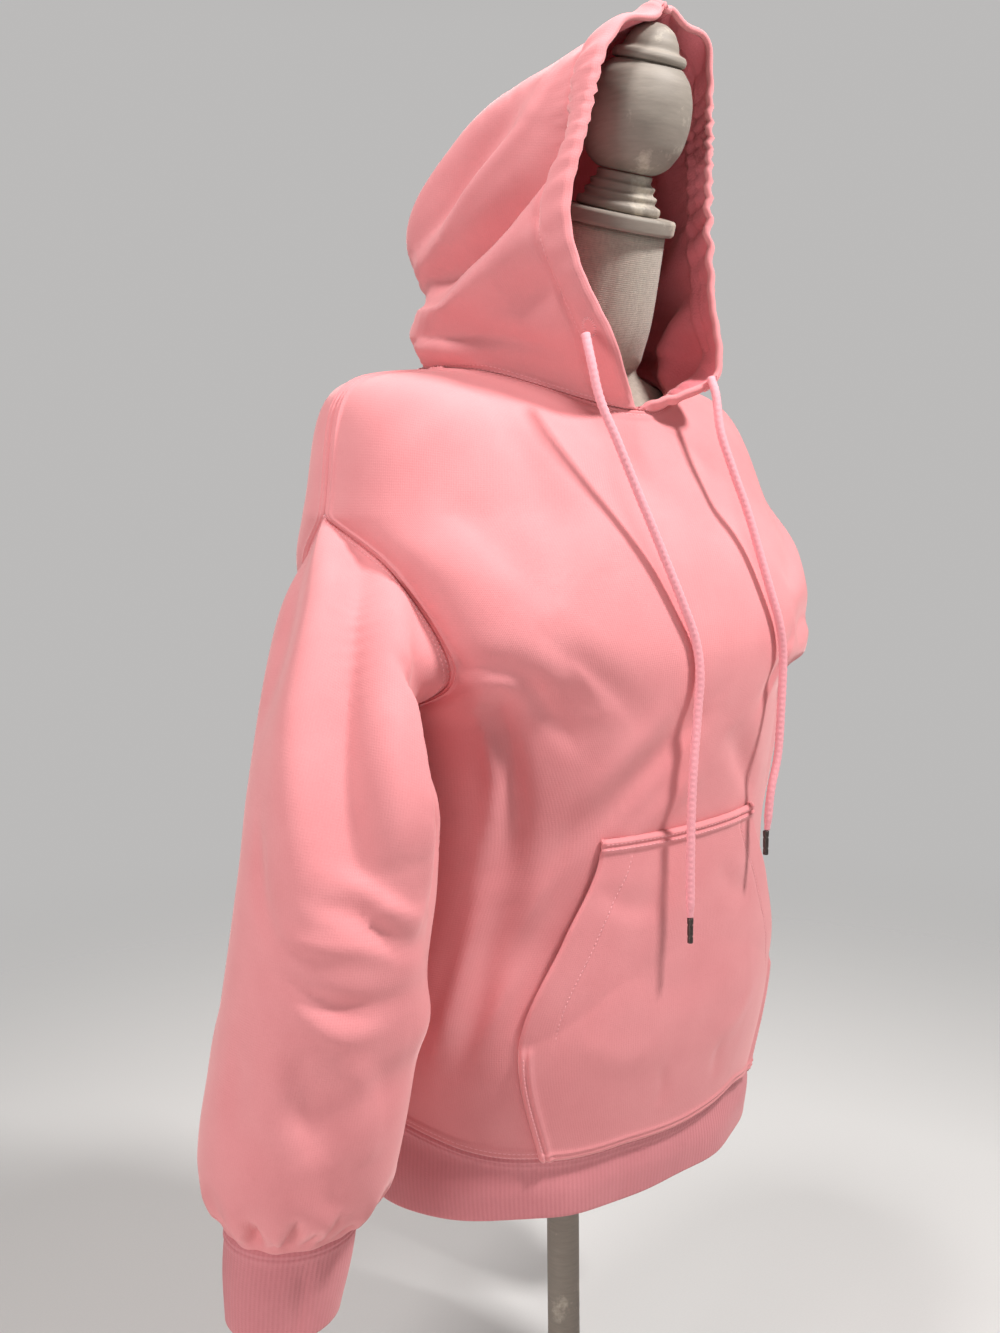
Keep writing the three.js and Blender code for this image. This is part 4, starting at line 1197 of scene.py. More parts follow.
# ---- the garment ----
@dataclass
class Body:
    """Front and back panels, from the hem seam to the shoulder seams and the neck."""

    rows: int = 132
    columns: int = 128
    tall: float = 640.0
    wide: float = 560.0
    front_folds: tuple = (
        (0.12, 0.38, 0.3, 0.44, 0.09, -8), (0.88, 0.38, 0.7, 0.44, 0.09, -7),
        (0.12, 0.05, 0.1, 0.32, 0.06, 6), (0.88, 0.06, 0.9, 0.32, 0.06, 5),
    )
    back_folds: tuple = (
        (0.14, 0.38, 0.34, 0.48, 0.08, -7), (0.86, 0.38, 0.66, 0.48, 0.08, -7),
        (0.3, 0.06, 0.34, 0.3, 0.07, 6), (0.7, 0.08, 0.66, 0.28, 0.07, 5),
    )
    front_creases: tuple[Crease, ...] = laid(
        (((-192, 440), (-168, 436), (-140, 418)), 11, -5.0, 0.3),
        (((-150, 470), (-124, 440), (-110, 400)), 17, -3.5, 0.3),
        (((-132, 452), (-100, 424), (-60, 386)), 9, -2.4, 0.3),
        (((-150, 424), (-128, 400), (-104, 372)), 9, -3.0, 0.3),
        (((-96, 304), (-60, 343), (-25, 376), (6, 392)), 14, -6.5, 0.4),
        (((-70, 292), (-34, 326), (4, 350)), 10, 3.2, -0.2),
        (((-108, 332), (-72, 372), (-36, 402)), 13, 3.4, -0.2),
        (((-176, 405), (-162, 372), (-158, 330), (-166, 280)), 8, 6.5, 0.4),
        (((-168, 420), (-149, 374), (-143, 320), (-150, 264)), 12, -8.0, -0.2),
        (((-160, 296), (-170, 240), (-184, 176), (-189, 120)), 9, 5.0, 0.3),
        (((-146, 268), (-156, 224), (-172, 160), (-180, 112)), 10, -5.5, 0.0),
        (((-140, 214), (-160, 170), (-178, 118)), 7, 3.0, 0.2),
        (((-135, 235), (-126, 262), (-108, 294)), 8, 3.4, 0.2),
        (((-120, 262), (-112, 296), (-96, 330)), 9, -3.4, 0.2),
        (((-176, 560), (-150, 512), (-124, 484)), 18, -4.5, 0.2),
        (((-128, 640), (-116, 592), (-120, 540), (-138, 496)), 15, -4.0, 0.0),
        (((-104, 600), (-84, 552), (-80, 500)), 20, 3.0, 0.0),
        (((-40, 618), (-22, 575), (0, 536)), 13, -2.6, 0.0),
        (((64, 600), (56, 560), (36, 516)), 13, -2.6, 0.0),
        (((184, 446), (156, 450), (128, 438)), 13, -7.0, -0.3),
        (((188, 420), (150, 424), (104, 424)), 12, 4.6, 0.2),
        (((122, 444), (96, 414), (72, 384)), 6, -2.8, -0.3),
        (((90, 306), (62, 340), (30, 372)), 14, -5.0, -0.3),
        (((176, 404), (160, 366), (158, 318), (168, 270)), 8, 5.0, -0.3),
        (((164, 300), (172, 240), (184, 160)), 9, -4.6, 0.2),
        (((172, 560), (146, 508), (120, 482)), 17, -4.0, -0.2),
    )
    back_creases: tuple[Crease, ...] = laid(
        (((-180, 456), (-150, 470), (-104, 462), (-60, 470)), 12, -8.5, 0.3),
        (((-184, 430), (-140, 438), (-92, 436)), 11, 5.1, -0.2),
        (((180, 452), (146, 468), (100, 460), (66, 466)), 12, -8.1, -0.3),
        (((184, 428), (142, 436), (100, 432)), 11, 4.6, 0.2),
        (((-120, 300), (-84, 330), (-30, 342)), 13, -5.5, 0.3),
        (((112, 292), (76, 322), (28, 330)), 13, -5.1, -0.3),
        (((-150, 250), (-156, 190), (-146, 120)), 9, 5.5, 0.3),
        (((-60, 240), (-72, 180), (-66, 110)), 12, -4.2, 0.2),
        (((70, 250), (80, 186), (70, 116)), 12, -4.6, -0.2),
        (((152, 260), (160, 196), (150, 130)), 9, 5.1, -0.3),
        (((-90, 600), (-40, 588), (20, 596)), 16, -3.9, 0.0),
        (((-20, 560), (40, 548), (100, 556)), 18, 3.4, 0.0),
        (((-130, 540), (-112, 500), (-118, 470)), 10, -3.4, 0.2),
        (((128, 544), (114, 506), (122, 474)), 10, -3.4, -0.2),
    )
    front: Shell = None
    back: Shell = None

    @staticmethod
    def point(front: bool, first_side: int, grid_row: np.ndarray, column: np.ndarray) -> np.ndarray:
        """Points of the front or back surface.

        Args:
            front: Whether the front is meant.
            first_side: The side of column 0: -1 right, 1 left.
            grid_row: Rows of the grid, as an array that broadcasts with column.
            column: Columns of the grid, from 0 to 20.
        Returns:
            The points, before any fold.
        """
        centre = np.array(FRONT_CENTRE if front else BACK_CENTRE, float)
        armhole = FRONT_ARMHOLE if front else BACK_ARMHOLE
        edge = np.array([armhole.get(i, row) for i, row in enumerate(BODY_EDGE)], float)
        grid_row, column = np.broadcast_arrays(np.asarray(grid_row, float), np.asarray(column, float))
        place = np.interp(grid_row, ROW_PLACES, np.arange(len(ROW_PLACES)))
        side = np.where(column < HALF, first_side, -first_side)
        inward = np.where(column < HALF, column, LAST_COLUMN - column)
        share = inward / HALF
        if front:
            pocket = spline(np.array(POCKET_EDGE), place)
            outer_share = inward / POCKET_COLUMN * pocket
            inner_share = pocket + (inward - POCKET_COLUMN) / (HALF - POCKET_COLUMN) * (1 - pocket)
            share = np.where(inward <= POCKET_COLUMN, outer_share, inner_share)
        share = np.clip(share, 0, 1)
        edge_at, centre_at = cornered(edge, place), spline(centre, place)
        power = 2 / centre_at[..., 2]
        angle = share * math.pi / 2
        across = np.where(share < 1, np.cos(angle), 0) ** power
        forward = np.sin(angle) ** power
        dip = spline(np.array(FRONT_HEM_DIP if front else BACK_HEM_DIP, float), column)
        dip = dip * (1 - smooth(grid_row, 0.0, 3.0))
        return np.stack(
            [
                side * edge_at[..., 0] * across,
                edge_at[..., 1] + (centre_at[..., 0] - edge_at[..., 1]) * forward,
                edge_at[..., 2] + (centre_at[..., 1] - edge_at[..., 2]) * np.sin(angle) ** 2 + dip,
            ],
            -1,
        )

    def panel(self, front: bool, grid_rows: np.ndarray, columns: np.ndarray) -> Shell:
        """The front or back with the garment's large folds, on any grid.

        Args:
            front: Whether the front is meant.
            grid_rows: The grid rows to cut it at.
            columns: The grid columns to cut it at.
        Returns:
            The shell, without its fine creases.
        """
        side = -1 if front else 1
        name = "front_panel" if front else "back_panel"
        shell = Shell(name, self.point(front, side, grid_rows[:, None], columns[None]), sewn=tuple(Edge))
        u, v = columns[None] / LAST_COLUMN, grid_rows[:, None] / LAST_ROW
        fade = np.minimum(np.minimum(1, 8 * u), np.minimum(8 * (1 - u), 10 * v))
        shell.lift(fold_height(self.front_folds if front else self.back_folds, u, v) * fade)
        return shell

    def shape(self) -> None:
        """Makes both panels with their creases and seams."""
        for front in (True, False):
            grid_rows = LAST_ROW * ticks(self.rows, self.tall)
            columns = LAST_COLUMN * ticks(self.columns, self.wide)
            shell = self.panel(front, grid_rows, columns)
            shell.chart = shell.outer[..., [0, 2]]
            shell.crease(self.front_creases if front else self.back_creases)
            self._seams(shell, grid_rows)
            if front:
                self.front = shell
            else:
                self.back = shell

    def _seams(self, shell: Shell, grid_rows: np.ndarray) -> None:
        """Raises the hem, armhole, shoulder and neck seams, and only nicks in the side seams.

        Args:
            shell: The front or back.
            grid_rows: The grid row of each of its rows.
        """
        underarm = ROW_PLACES[UNDERARM]
        above_underarm = smooth(grid_rows, underarm - 0.4, underarm + 0.4)[:, None]
        height = seam_relief(shell.reach(Edge.START), 1.1) + seam_relief(shell.reach(Edge.END), 1.0)
        for edge in (Edge.LEFT, Edge.RIGHT):
            reach = shell.reach(edge)
            height = height + above_underarm * seam_relief(reach, 1.2)
            height = height - (1 - above_underarm) * 0.7 * np.exp(-(((reach - 2) / 1.4) ** 2))
        shell.lift(height)

    def build(self, finishes: Finishes) -> None:
        """Args:
            finishes: The materials.
        """
        self.shape()
        for shell, node, flat, area in (
            (self.front, "front_body", (0.66, 0.64), 0.36),
            (self.back, "back_body", (0.66, 0.66), 0.36),
        ):
            piece = shell.build(CLOTH, finishes.fleece, finishes.fleece_back)
            declare(piece, node)
            log.info("%s: %.3f m2", shell.name, shell.area())


def declare(
    piece: bpy.types.Object, node: str,
) -> None:
    """Makes a cloth piece ride the one body in place of its node.

    Args:
        piece: The cloth.
        node: The frame's node that it replaces.
    """
    stand_in(piece, node)


@dataclass
class Sleeve:
    """One sleeve from the armhole to the cuff seam, and its cuff."""

    side: int
    rings: tuple
    cuff_rings: tuple
    creases: tuple[Crease, ...]
    gathers: tuple[tuple[float, float, float], ...]
    columns: int = 124
    rows: int = 150
    length: float = 620.0
    cuff_rows: int = 26
    cuff_length: float = 76.0
    girth: float = 400.0
    folds: tuple = (
        (0.3, 0.14, 0.37, 0.5, 0.05, -9), (0.42, 0.16, 0.44, 0.5, 0.04, 6),
        (0.3, 0.57, 0.46, 0.55, 0.035, 6), (0.12, 0.62, 0.34, 0.6, 0.03, -5),
        (0.17, 0.68, 0.24, 0.84, 0.04, -6), (0.62, 0.3, 0.8, 0.45, 0.05, -7),
        (0.66, 0.6, 0.86, 0.64, 0.04, -6),
    )
    gather_count: int = 12
    gather_height: float = 4.0
    gather_place: float = 0.93
    gather_reach: float = 0.16
    sleeve: Shell = None
    cuff: Shell = None

    @property
    def name(self) -> str:
        """Which sleeve it is."""
        return "right" if self.side < 0 else "left"

    def armhole(self, turn: np.ndarray) -> np.ndarray:
        """The armhole, from the shoulder point down the front and up the back.

        Args:
            turn: Places round it, in turns.
        Returns:
            The points.
        """
        t = turn * ARMHOLE_COLUMNS
        half = ARMHOLE_COLUMNS / 2
        high, low = ROW_PLACES[SHOULDER], ROW_PLACES[UNDERARM]
        column = 0.0 if self.side < 0 else float(LAST_COLUMN)
        front = Body.point(True, -1, high - np.minimum(t, half), column)
        back = Body.point(False, 1, low + np.maximum(t - half, 0), LAST_COLUMN - column)
        return np.where((t <= half)[:, None], front, back)

    def shape(self) -> None:
        """Makes the sleeve, then the cuff from the sleeve's last ring."""
        turn = np.arange(self.columns) / self.columns
        lines = [self.armhole(turn)]
        lines += [ring_points(ring, self.side, turn) for ring in (*self.rings, self.cuff_rings[0])]
        along = ticks(self.rows, self.length)
        grid = spline(np.array(lines), along * (len(lines) - 1))
        self._shape_sleeve(grid, turn[None], along[:, None])
        self._shape_cuff(grid[-1], turn)

    def _shape_sleeve(self, grid: np.ndarray, u: np.ndarray, v: np.ndarray) -> None:
        """Makes the sleeve with its folds, creases, gathers and armhole seam.

        Args:
            grid: Its smooth points.
            u: Places round it, in turns, as a row.
            v: Places along it, from 0 to 1, as a column.
        """
        shell = Shell(
            f"sleeve_{self.name}_cloth", grid, wraps=True, turned=self.side < 0,
            sewn=(Edge.START, Edge.END),
        )
        fade = np.minimum(1, 9 * v) * np.minimum(1, 8 * (1 - v))
        near_cuff = np.maximum(0, 1 - np.abs(v - self.gather_place) / self.gather_reach)
        uneven = 0.7 + 0.3 * np.sin(2 * math.pi * (3 * u + 0.1))
        wave = -np.cos(2 * math.pi * self.gather_count * u) * uneven
        seam_line = np.minimum(1, 14 * (1 - v))
        shell.lift(
            fold_height(self.folds, u, v, True) * fade
            + self.gather_height * wave * near_cuff * (0.35 + 0.65 * seam_line)
        )
        shape = shell.outer.shape[:2]
        height_axis = np.broadcast_to(shell.outer[..., 2].mean(1, keepdims=True), shape)
        shell.chart = np.stack([np.broadcast_to(u, shape), height_axis], -1)
        shell.chart_scale = (self.girth, 1.0)
        shell.crease(self.creases)
        shell.crease(tuple(self._gather(shell, *gather) for gather in self.gathers))
        shell.lift(-0.6 * np.exp(-(((shell.reach(Edge.START) - 2.5) / 1.4) ** 2)))
        self.sleeve = shell

    def _shape_cuff(self, start: np.ndarray, turn: np.ndarray) -> None:
        """Makes the cuff with its seam, a dent at its front and a slack lower edge.

        Args:
            start: The sleeve's last ring.
            turn: Places round it, in turns.
        """
        lines = [start, *(ring_points(ring, self.side, turn) for ring in self.cuff_rings[1:])]
        down = ticks(self.cuff_rows, self.cuff_length, end=False)
        cuff = Shell(
            f"cuff_{self.name}_rib", spline(np.array(lines), down * (len(lines) - 1)),
            wraps=True, turned=self.side < 0,
        )
        u = turn[None]
        dent = np.exp(-(((u - 0.2) / 0.02) ** 2)) * smooth(down, 0.05, 0.4)[:, None]
        sag = np.sin(2 * math.pi * (2 * u + 0.12)) * smooth(down, 0.3, 1.0)[:, None]
        cuff.lift(seam_relief(cuff.reach(Edge.START), 0.6) - 2.4 * dent + 1.2 * sag)
        self.cuff = cuff

    @staticmethod
    def _gather(shell: Shell, turn: float, length: float, depth: float) -> Crease:
        """A gather that runs up from the cuff seam.

        Args:
            shell: The sleeve.
            turn: Its place round the sleeve, in turns.
            length: How far up it runs, in mm.
            depth: Its height, negative for a trough.
        Returns:
            The gather, as a crease.
        """
        low = float(shell.chart[-1, 0, 1])
        path = ((turn, low + length), (turn + 0.004, low + length / 2), (turn - 0.003, low))
        return Crease(path, GATHER_WIDTH, 1.8 * depth)

    def build(self, finishes: Finishes) -> None:
        """Args:
            finishes: The materials.
        """
        self.shape()
        sleeve = self.sleeve.build(CLOTH, finishes.fleece, finishes.fleece_back)
        cuff = self.cuff.build(RIB, finishes.rib, finishes.rib)
        declare(
            sleeve, f"sleeve_{self.name}"
        )
        declare(
            cuff, f"cuff_{self.name}"
        )
        log.info("sleeve %s: %.3f m2, cuff %.4f m2", self.name, self.sleeve.area(), self.cuff.area())


@dataclass
class Hood:
    """One half of the hood, from the centre seam round to the channel at the front edge.

    roll is added to the front edge, row by row, where the hood's foot rolls over the neck.
    gathered holds how far the channel is puckered at its foot and where it tightens upwards.
    """

    side: int
    edge: tuple
    roll: tuple
    creases: tuple[Crease, ...]
    gathered: tuple[float, float]
    rows: int = 116
    columns: int = 104
    folds: tuple = ((0.2, 0.33, 0.72, 0.52, 0.09, -6), (0.3, 0.64, 0.66, 0.74, 0.09, -3))
    length: float = 330.0
    channel_width: float = 27.0
    swell: float = 3.4
    pucker_pitch: float = 17.0
    pucker_depth: float = 3.0
    pull_depth: float = 1.4
    stitch_depth: float = 3.0
    shell: Shell = None

    @property
    def name(self) -> str:
        """Which half it is."""
        return "right" if self.side < 0 else "left"

    def neck(self, u: np.ndarray) -> np.ndarray:
        """The neck seam.

        Args:
            u: Places along it, from 0 at the centre back to 1 at the centre front.
        Returns:
            The points.
        """
        j = u * LAST_COLUMN
        back_column = HALF + j if self.side < 0 else HALF - j
        front_column = j - HALF if self.side < 0 else 3 * HALF - j
        top = np.full(len(u), float(LAST_ROW))
        back = Body.point(False, 1, top, np.clip(back_column, 0, LAST_COLUMN))
        front = Body.point(True, -1, top, np.clip(front_column, 0, LAST_COLUMN))
        return np.where((j <= HALF)[:, None], back, front)

    def shape(self) -> None:
        """Makes the hood half with its folds, channel puckers and seams."""
        u = ticks(self.columns, self.length)
        v = ticks(self.rows, self.length)
        lines = [self.neck(u)]
        for row, front, roll in list(zip(HOOD_ROWS, self.edge, self.roll))[1:]:
            back_y, back_z, width = row
            start, end = np.array((0.0, back_y, back_z)), np.array(front, float)
            corner, flank, cheek = (start + (end - start) * share for share in (0.17, 0.5, 0.76))
            corner[0] = self.side * width * CORNER_WIDTH
            flank[0] = self.side * width
            cheek[0] = (self.side * width + end[0]) / 2
            end = end + np.array(roll)
            lines.append(spline(np.array((start, corner, flank, cheek, end)), 4 * u))
        grid = spline(np.array(lines), v * (len(lines) - 1))
        sewn = (Edge.START, Edge.END, Edge.LEFT)
        shell = Shell(f"hood_{self.name}_cloth", grid, turned=self.side > 0, sewn=sewn)
        across, along = u[None], v[:, None]
        fade = np.minimum(1, 6 * along) * np.minimum(1, 6 * (1 - along)) * np.minimum(1, 6 * across)
        shell.lift(fold_height(self.folds, across, along) * fade)
        shell.chart = shell.outer[..., [1, 2]]
        shell.crease(self.creases)
        shell.lift(self._channel(shell, along))
        self.shell = shell

    def _channel(self, shell: Shell, along: np.ndarray) -> np.ndarray:
        """Height of the channel's swell and puckers, its stitch line and the hood's seams.

        Args:
            shell: The hood half.
            along: Places up it, from 0 to 1, as a column.
        Returns:
            The height at each point, in mm.
        """
        edge = shell.reach(Edge.RIGHT)
        neck, crown = shell.reach(Edge.START), shell.reach(Edge.END)
        run = neck[:, -1:]
        swell = np.sin(math.pi * np.clip(edge / self.channel_width, 0, 1)) ** 0.6 * self.swell
        phase = run / self.pucker_pitch + 0.9 * np.sin(run / 37) + 0.5 * np.sin(run / 23 + 1) + edge / 45
        slack, start = self.gathered
        tight = slack + (1 - slack) * smooth(along, start, start + 0.25)
        pucker = np.cos(2 * math.pi * phase) * (1 - smooth(edge, 22, 34)) * smooth(along, 0.02, 0.08)
        pull = np.cos(2 * math.pi * phase + 0.6) * smooth(edge, 24, 30) * (1 - smooth(edge, 32, 58))
        stitched = -self.stitch_depth * np.exp(-(((edge - FACING_ROW) / 2.6) ** 2))
        seams = seam_relief(neck, 0.5) + seam_relief(crown, 0.7)
        centre = seam_relief(shell.reach(Edge.LEFT), 0.7)
        rolled = -1.6 * np.exp(-((edge / 2.2) ** 2))
        whole = smooth(neck, 0, 8) * smooth(crown, 0, 3)
        uneven = 0.7 + 0.3 * np.sin(run / 31 + 2) + 0.25 * np.sin(run / 13)
        gathers = tight * uneven * (self.pucker_depth * pucker + self.pull_depth * pull)
        return whole * (swell + gathers + stitched + rolled) + seams + centre

    def build(self, finishes: Finishes) -> None:
        """Args:
            finishes: The materials.
        """
        self.shape()
        doubled = 1 - smooth(self.shell.reach(Edge.RIGHT), 24, 30)
        wall = CLOTH + (CHANNEL - CLOTH) * doubled * smooth(self.shell.reach(Edge.START), 2, 12)
        piece = self.shell.build(wall, finishes.fleece, finishes.fleece_back)
        declare(piece, f"hood_{self.name}")
        log.info("hood %s: %.3f m2", self.name, self.shell.area())


@dataclass
class Pocket:
    """The kangaroo pocket, on the front's own surface and standing off inside its hand openings."""

    body: Body
    rows: int = 88
    columns: int = 112
    tall: float = 243.0
    wide: float = 250.0
    creases: tuple[Crease, ...] = laid(
        (((-92, 268), (-66, 250), (-30, 246)), 12, -2.2, 0.2),
        (((-60, 200), (-20, 176), (40, 180)), 20, -1.8, 0.0),
        (((-104, 148), (-70, 128), (-22, 130)), 14, 1.8, 0.0),
        (((30, 262), (54, 240), (82, 236)), 12, -2.0, 0.0),
        (((-30, 110), (-24, 92), (-28, 74)), 7, -1.6, 0.0),
        (((44, 112), (40, 94), (46, 74)), 7, -1.5, 0.0),
        (((84, 140), (60, 122), (30, 118)), 12, 1.5, 0.0),
    )
    shell: Shell = None
    grid_rows: np.ndarray = None

    def shape(self) -> None:
        """Makes the pocket with its double-stitched edges."""
        last = LAST_COLUMN - 2 * POCKET_COLUMN
        grid_rows = POCKET_TOP_ROW * ticks(self.rows, self.tall)
        columns = POCKET_COLUMN + last * ticks(self.columns, self.wide)
        shell = self.body.panel(True, grid_rows, columns)
        row, column = grid_rows[:, None], columns[None] - POCKET_COLUMN
        from_side = np.minimum(column, last - column) / (last / 2)
        up_mouth = np.clip((row - POCKET_LOW_ROW) / (POCKET_TOP_ROW - POCKET_LOW_ROW), 0, 1)
        belly = 0.5 * np.sin(math.pi * row / POCKET_TOP_ROW) * np.minimum(1, 2 * from_side)
        stand = MOUTH_EASE * np.maximum(np.sin(math.pi * up_mouth) * (1 - from_side / 2), belly)
        shell.lift(SEAM_GAP + CLOTH + stand)
        shell.name = "pocket_cloth"
        shell.chart = shell.outer[..., [0, 2]]
        shell.crease(self.creases)
        low = (1 - smooth(grid_rows, POCKET_LOW_ROW - 0.1, POCKET_LOW_ROW + 0.1))[:, None]
        height = seam_relief(shell.reach(Edge.START), 0.8) + self._edge(shell.reach(Edge.END))
        for edge in (Edge.LEFT, Edge.RIGHT):
            reach = shell.reach(edge)
            height = height + low * self._edge(reach) - (1 - low) * 1.4 * np.exp(-((reach / 1.6) ** 2))
            height = height - (1 - low) * 0.5 * np.exp(-(((reach - FACING_ROW) / 1.5) ** 2))
        self.grid_rows = grid_rows
        shell.lift(height)
        self.shell = shell

    @staticmethod
    def _edge(reach: np.ndarray) -> np.ndarray:
        """A turned and twin-stitched edge: two round ridges, the outer one rolling under."""
        ridges = np.exp(-(((reach - 3.0) / 1.8) ** 2)) + 0.9 * np.exp(-(((reach - 8.4) / 1.7) ** 2))
        return 1.9 * ridges + 0.6 * (1 - smooth(reach, 9, 13)) - 1.3 * np.exp(-((reach / 0.9) ** 2))

    def side_row(
        self, edge: Edge, distance: float, low: float, high: float
    ) -> tuple[np.ndarray, np.ndarray]:
        """A stitch row beside one side.

        Args:
            edge: The pocket's side.
            distance: The row's distance from it, in mm.
            low: The grid row that it starts above.
            high: The grid row that it ends below.
        Returns:
            The row's points and their normals.
        """
        points, ups = self.shell.line(edge, distance)
        keep = (self.grid_rows > low) & (self.grid_rows < high)
        return points[keep[: len(points)]], ups[keep[: len(points)]]

    def build(self, finishes: Finishes) -> None:
        """Args:
            finishes: The materials.
        """
        self.shape()
        piece = self.shell.build(CLOTH, finishes.fleece, finishes.fleece_back)
        declare(
            piece, "kangaroo_pocket"
        )
        log.info("pocket: %.3f m2", self.shell.area())


@dataclass
class HemBand:
    """The rib band round the hem."""

    columns: int = 300
    rows: int = 26
    tall: float = 62.0
    shell: Shell = None

    def shape(self) -> None:
        """Makes the band, hanging in shallow waves from the body's lower edge."""
        c = LAST_COLUMN * np.arange(self.columns) / self.columns
        start = np.zeros(self.columns)
        ring = np.concatenate([Body.point(True, -1, start, c), Body.point(False, 1, start, c)])
        drop = 1 - ticks(self.rows, self.tall, start=False)
        share, down = spline(np.array(HEM_SHARES, float), 3 * drop).T
        grid = ring[None] * np.stack([share, share, np.ones_like(share)], 1)[:, None]
        grid[..., 2] *= 1 - down[:, None] / self.tall
        self.shell = Shell("hem_rib_band", grid, wraps=True)
        turn = np.arange(2 * self.columns)[None] / (2 * self.columns)
        low = smooth(down, 8, 60)[:, None]
        wave = np.sin(2 * math.pi * (7 * turn + 0.1)) + 0.5 * np.sin(2 * math.pi * (13 * turn + 0.3))
        self.shell.lift(seam_relief(self.shell.reach(Edge.END), 0.8) + 1.4 * low * wave)

    def build(self, finishes: Finishes) -> None:
        """Args:
            finishes: The materials.
        """
        self.shape()
        piece = self.shell.build(RIB, finishes.rib, finishes.rib)
        declare(
            piece, "hem_rib",
        )
        log.info("hem band: %.4f m2", self.shell.area())


# ---- cords ----
@dataclass
class Drawcord:
    """One end of the drawcord, hanging from its buttonhole, with its crimped aglet."""

    name: str
    route: tuple
    sides: int = 16
    step: float = 1.0
    path_step: int = 8
    loop: float = 2.4

    def build(self, finishes: Finishes) -> None:
        """Makes the knitted cord and its aglet.

        Args:
            finishes: The materials.
        """
        route = np.array(self.route, float)
        fine = spline(route, np.linspace(0, len(route) - 1, 60 * (len(route) - 1) + 1))
        run = np.concatenate([[0], np.cumsum(np.linalg.norm(np.diff(fine, axis=0), axis=1))])
        at = np.linspace(0, run[-1], int(run[-1] / self.step))
        centre = np.stack([np.interp(at, run, fine[:, k]) for k in range(3)], 1)
        cord = link(f"drawcord_{self.name}_knit", self._tube(centre, at, finishes.cord))
        stand_in(cord, f"drawcord_{self.name}")
        end = Turned(
            f"aglet_{self.name}_crimp", f"aglet_{self.name}", "aglet", AGLET_PROFILE, segments=36
        )
        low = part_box(f"aglet_{self.name}")
        middle = (np.array(low[0]) + np.array(low[1])) / 2
        aglet = end.build(finishes.metal, (middle[0] / MM, middle[1] / MM, low[0][2] / MM))
        log.info("drawcord %s: %.0f mm", self.name, run[-1])

    def _tube(self, centre: np.ndarray, at: np.ndarray, cotton: bpy.types.Material) -> bpy.types.Mesh:
        """A tube with the cord's crossing rows of loops raised on it.

        Args:
            centre: Points along its middle.
            at: Their distances from its start, in mm.
            cotton: Its finish.
        Returns:
            The new mesh.
        """
        tangent = np.gradient(centre, axis=0)
        tangent /= np.linalg.norm(tangent, axis=1, keepdims=True)
        side = np.cross(tangent, (0.0, 1.0, 0.0))
        side /= np.linalg.norm(side, axis=1, keepdims=True)
        up = np.cross(side, tangent)
        angle = 2 * math.pi * np.arange(self.sides) / self.sides
        turn = 2 * math.pi * at[:, None] / (2 * self.loop)
        strands = np.maximum(np.cos(turn + 2 * angle[None]), np.cos(turn - 2 * angle[None] + math.pi))
        taper = 1 - 0.3 * smooth(at[:, None], at[-1] - 12, at[-1])
        radius = CORD_DIAMETER / 2 * (1.02 + 0.05 * strands) * taper
        points = (
            centre[:, None]
            + side[:, None] * (np.cos(angle)[None, :, None] * radius[..., None])
            + up[:, None] * (np.sin(angle)[None, :, None] * radius[..., None])
        )
        rows, sides = points.shape[:2]
        faces = grid_quads(rows, sides)[:, [0, 3, 2, 1]].tolist()
        faces += [list(range(sides)), list(range((rows - 1) * sides, rows * sides))[::-1]]
        mesh = smooth_mesh("cord", points + FLOOR_TO_HEM, faces, cotton)
        mesh.update()
        return mesh


# ---- the dress form ----
@dataclass
class Turned:
    """A turned piece: a profile of (radius, height) in mm round an axis."""

    name: str
    node: str
    slot: str
    profile: tuple
    lean: float = 0.0
    segments: int = 96
    rounding: int = 5
    cut_back: float = 0.38

    def build(self, material: bpy.types.Material, foot: tuple[float, float, float]) -> bpy.types.Object:
        """Makes the piece on its foot point.

        Args:
            material: Its finish.
            foot: The point of its axis at height 0, in mm above the floor.
        Returns:
            The new object.
        """
        profile = self._rounded()
        angle = 2 * math.pi * np.arange(self.segments) / self.segments
        radius, height = profile[:, :1], profile[:, 1:]
        ring = np.stack([radius * np.cos(angle), radius * np.sin(angle), height + 0 * angle], -1)
        tilt = np.array(Matrix.Rotation(self.lean, 3, "X"))
        points = ring.reshape(-1, 3) @ tilt.T + np.array(foot)
        mesh = smooth_mesh(self.name, points, grid_quads(len(profile), self.segments).tolist(), material)
        mesh.validate()
        mesh.update()
        piece = link(self.name, mesh)
        stand_in(piece, self.node)
        return piece

    def _rounded(self) -> np.ndarray:
        """Rounds the profile.

        Returns:
            The profile with every corner cut back into a small arc.
        """
        corners = np.array(self.profile, float)
        corners[:, 0] = np.maximum(corners[:, 0], 0.01)
        result = [corners[0]]
        for before, here, after in zip(corners, corners[1:], corners[2:]):
            back = min(np.linalg.norm(before - here), np.linalg.norm(after - here)) * self.cut_back
            start = here + (before - here) / np.linalg.norm(before - here) * back
            end = here + (after - here) / np.linalg.norm(after - here) * back
            for t in np.linspace(0, 1, self.rounding):
                result.append((1 - t) ** 2 * start + 2 * t * (1 - t) * here + t * t * end)
        result.append(corners[-1])
        return np.array(result)


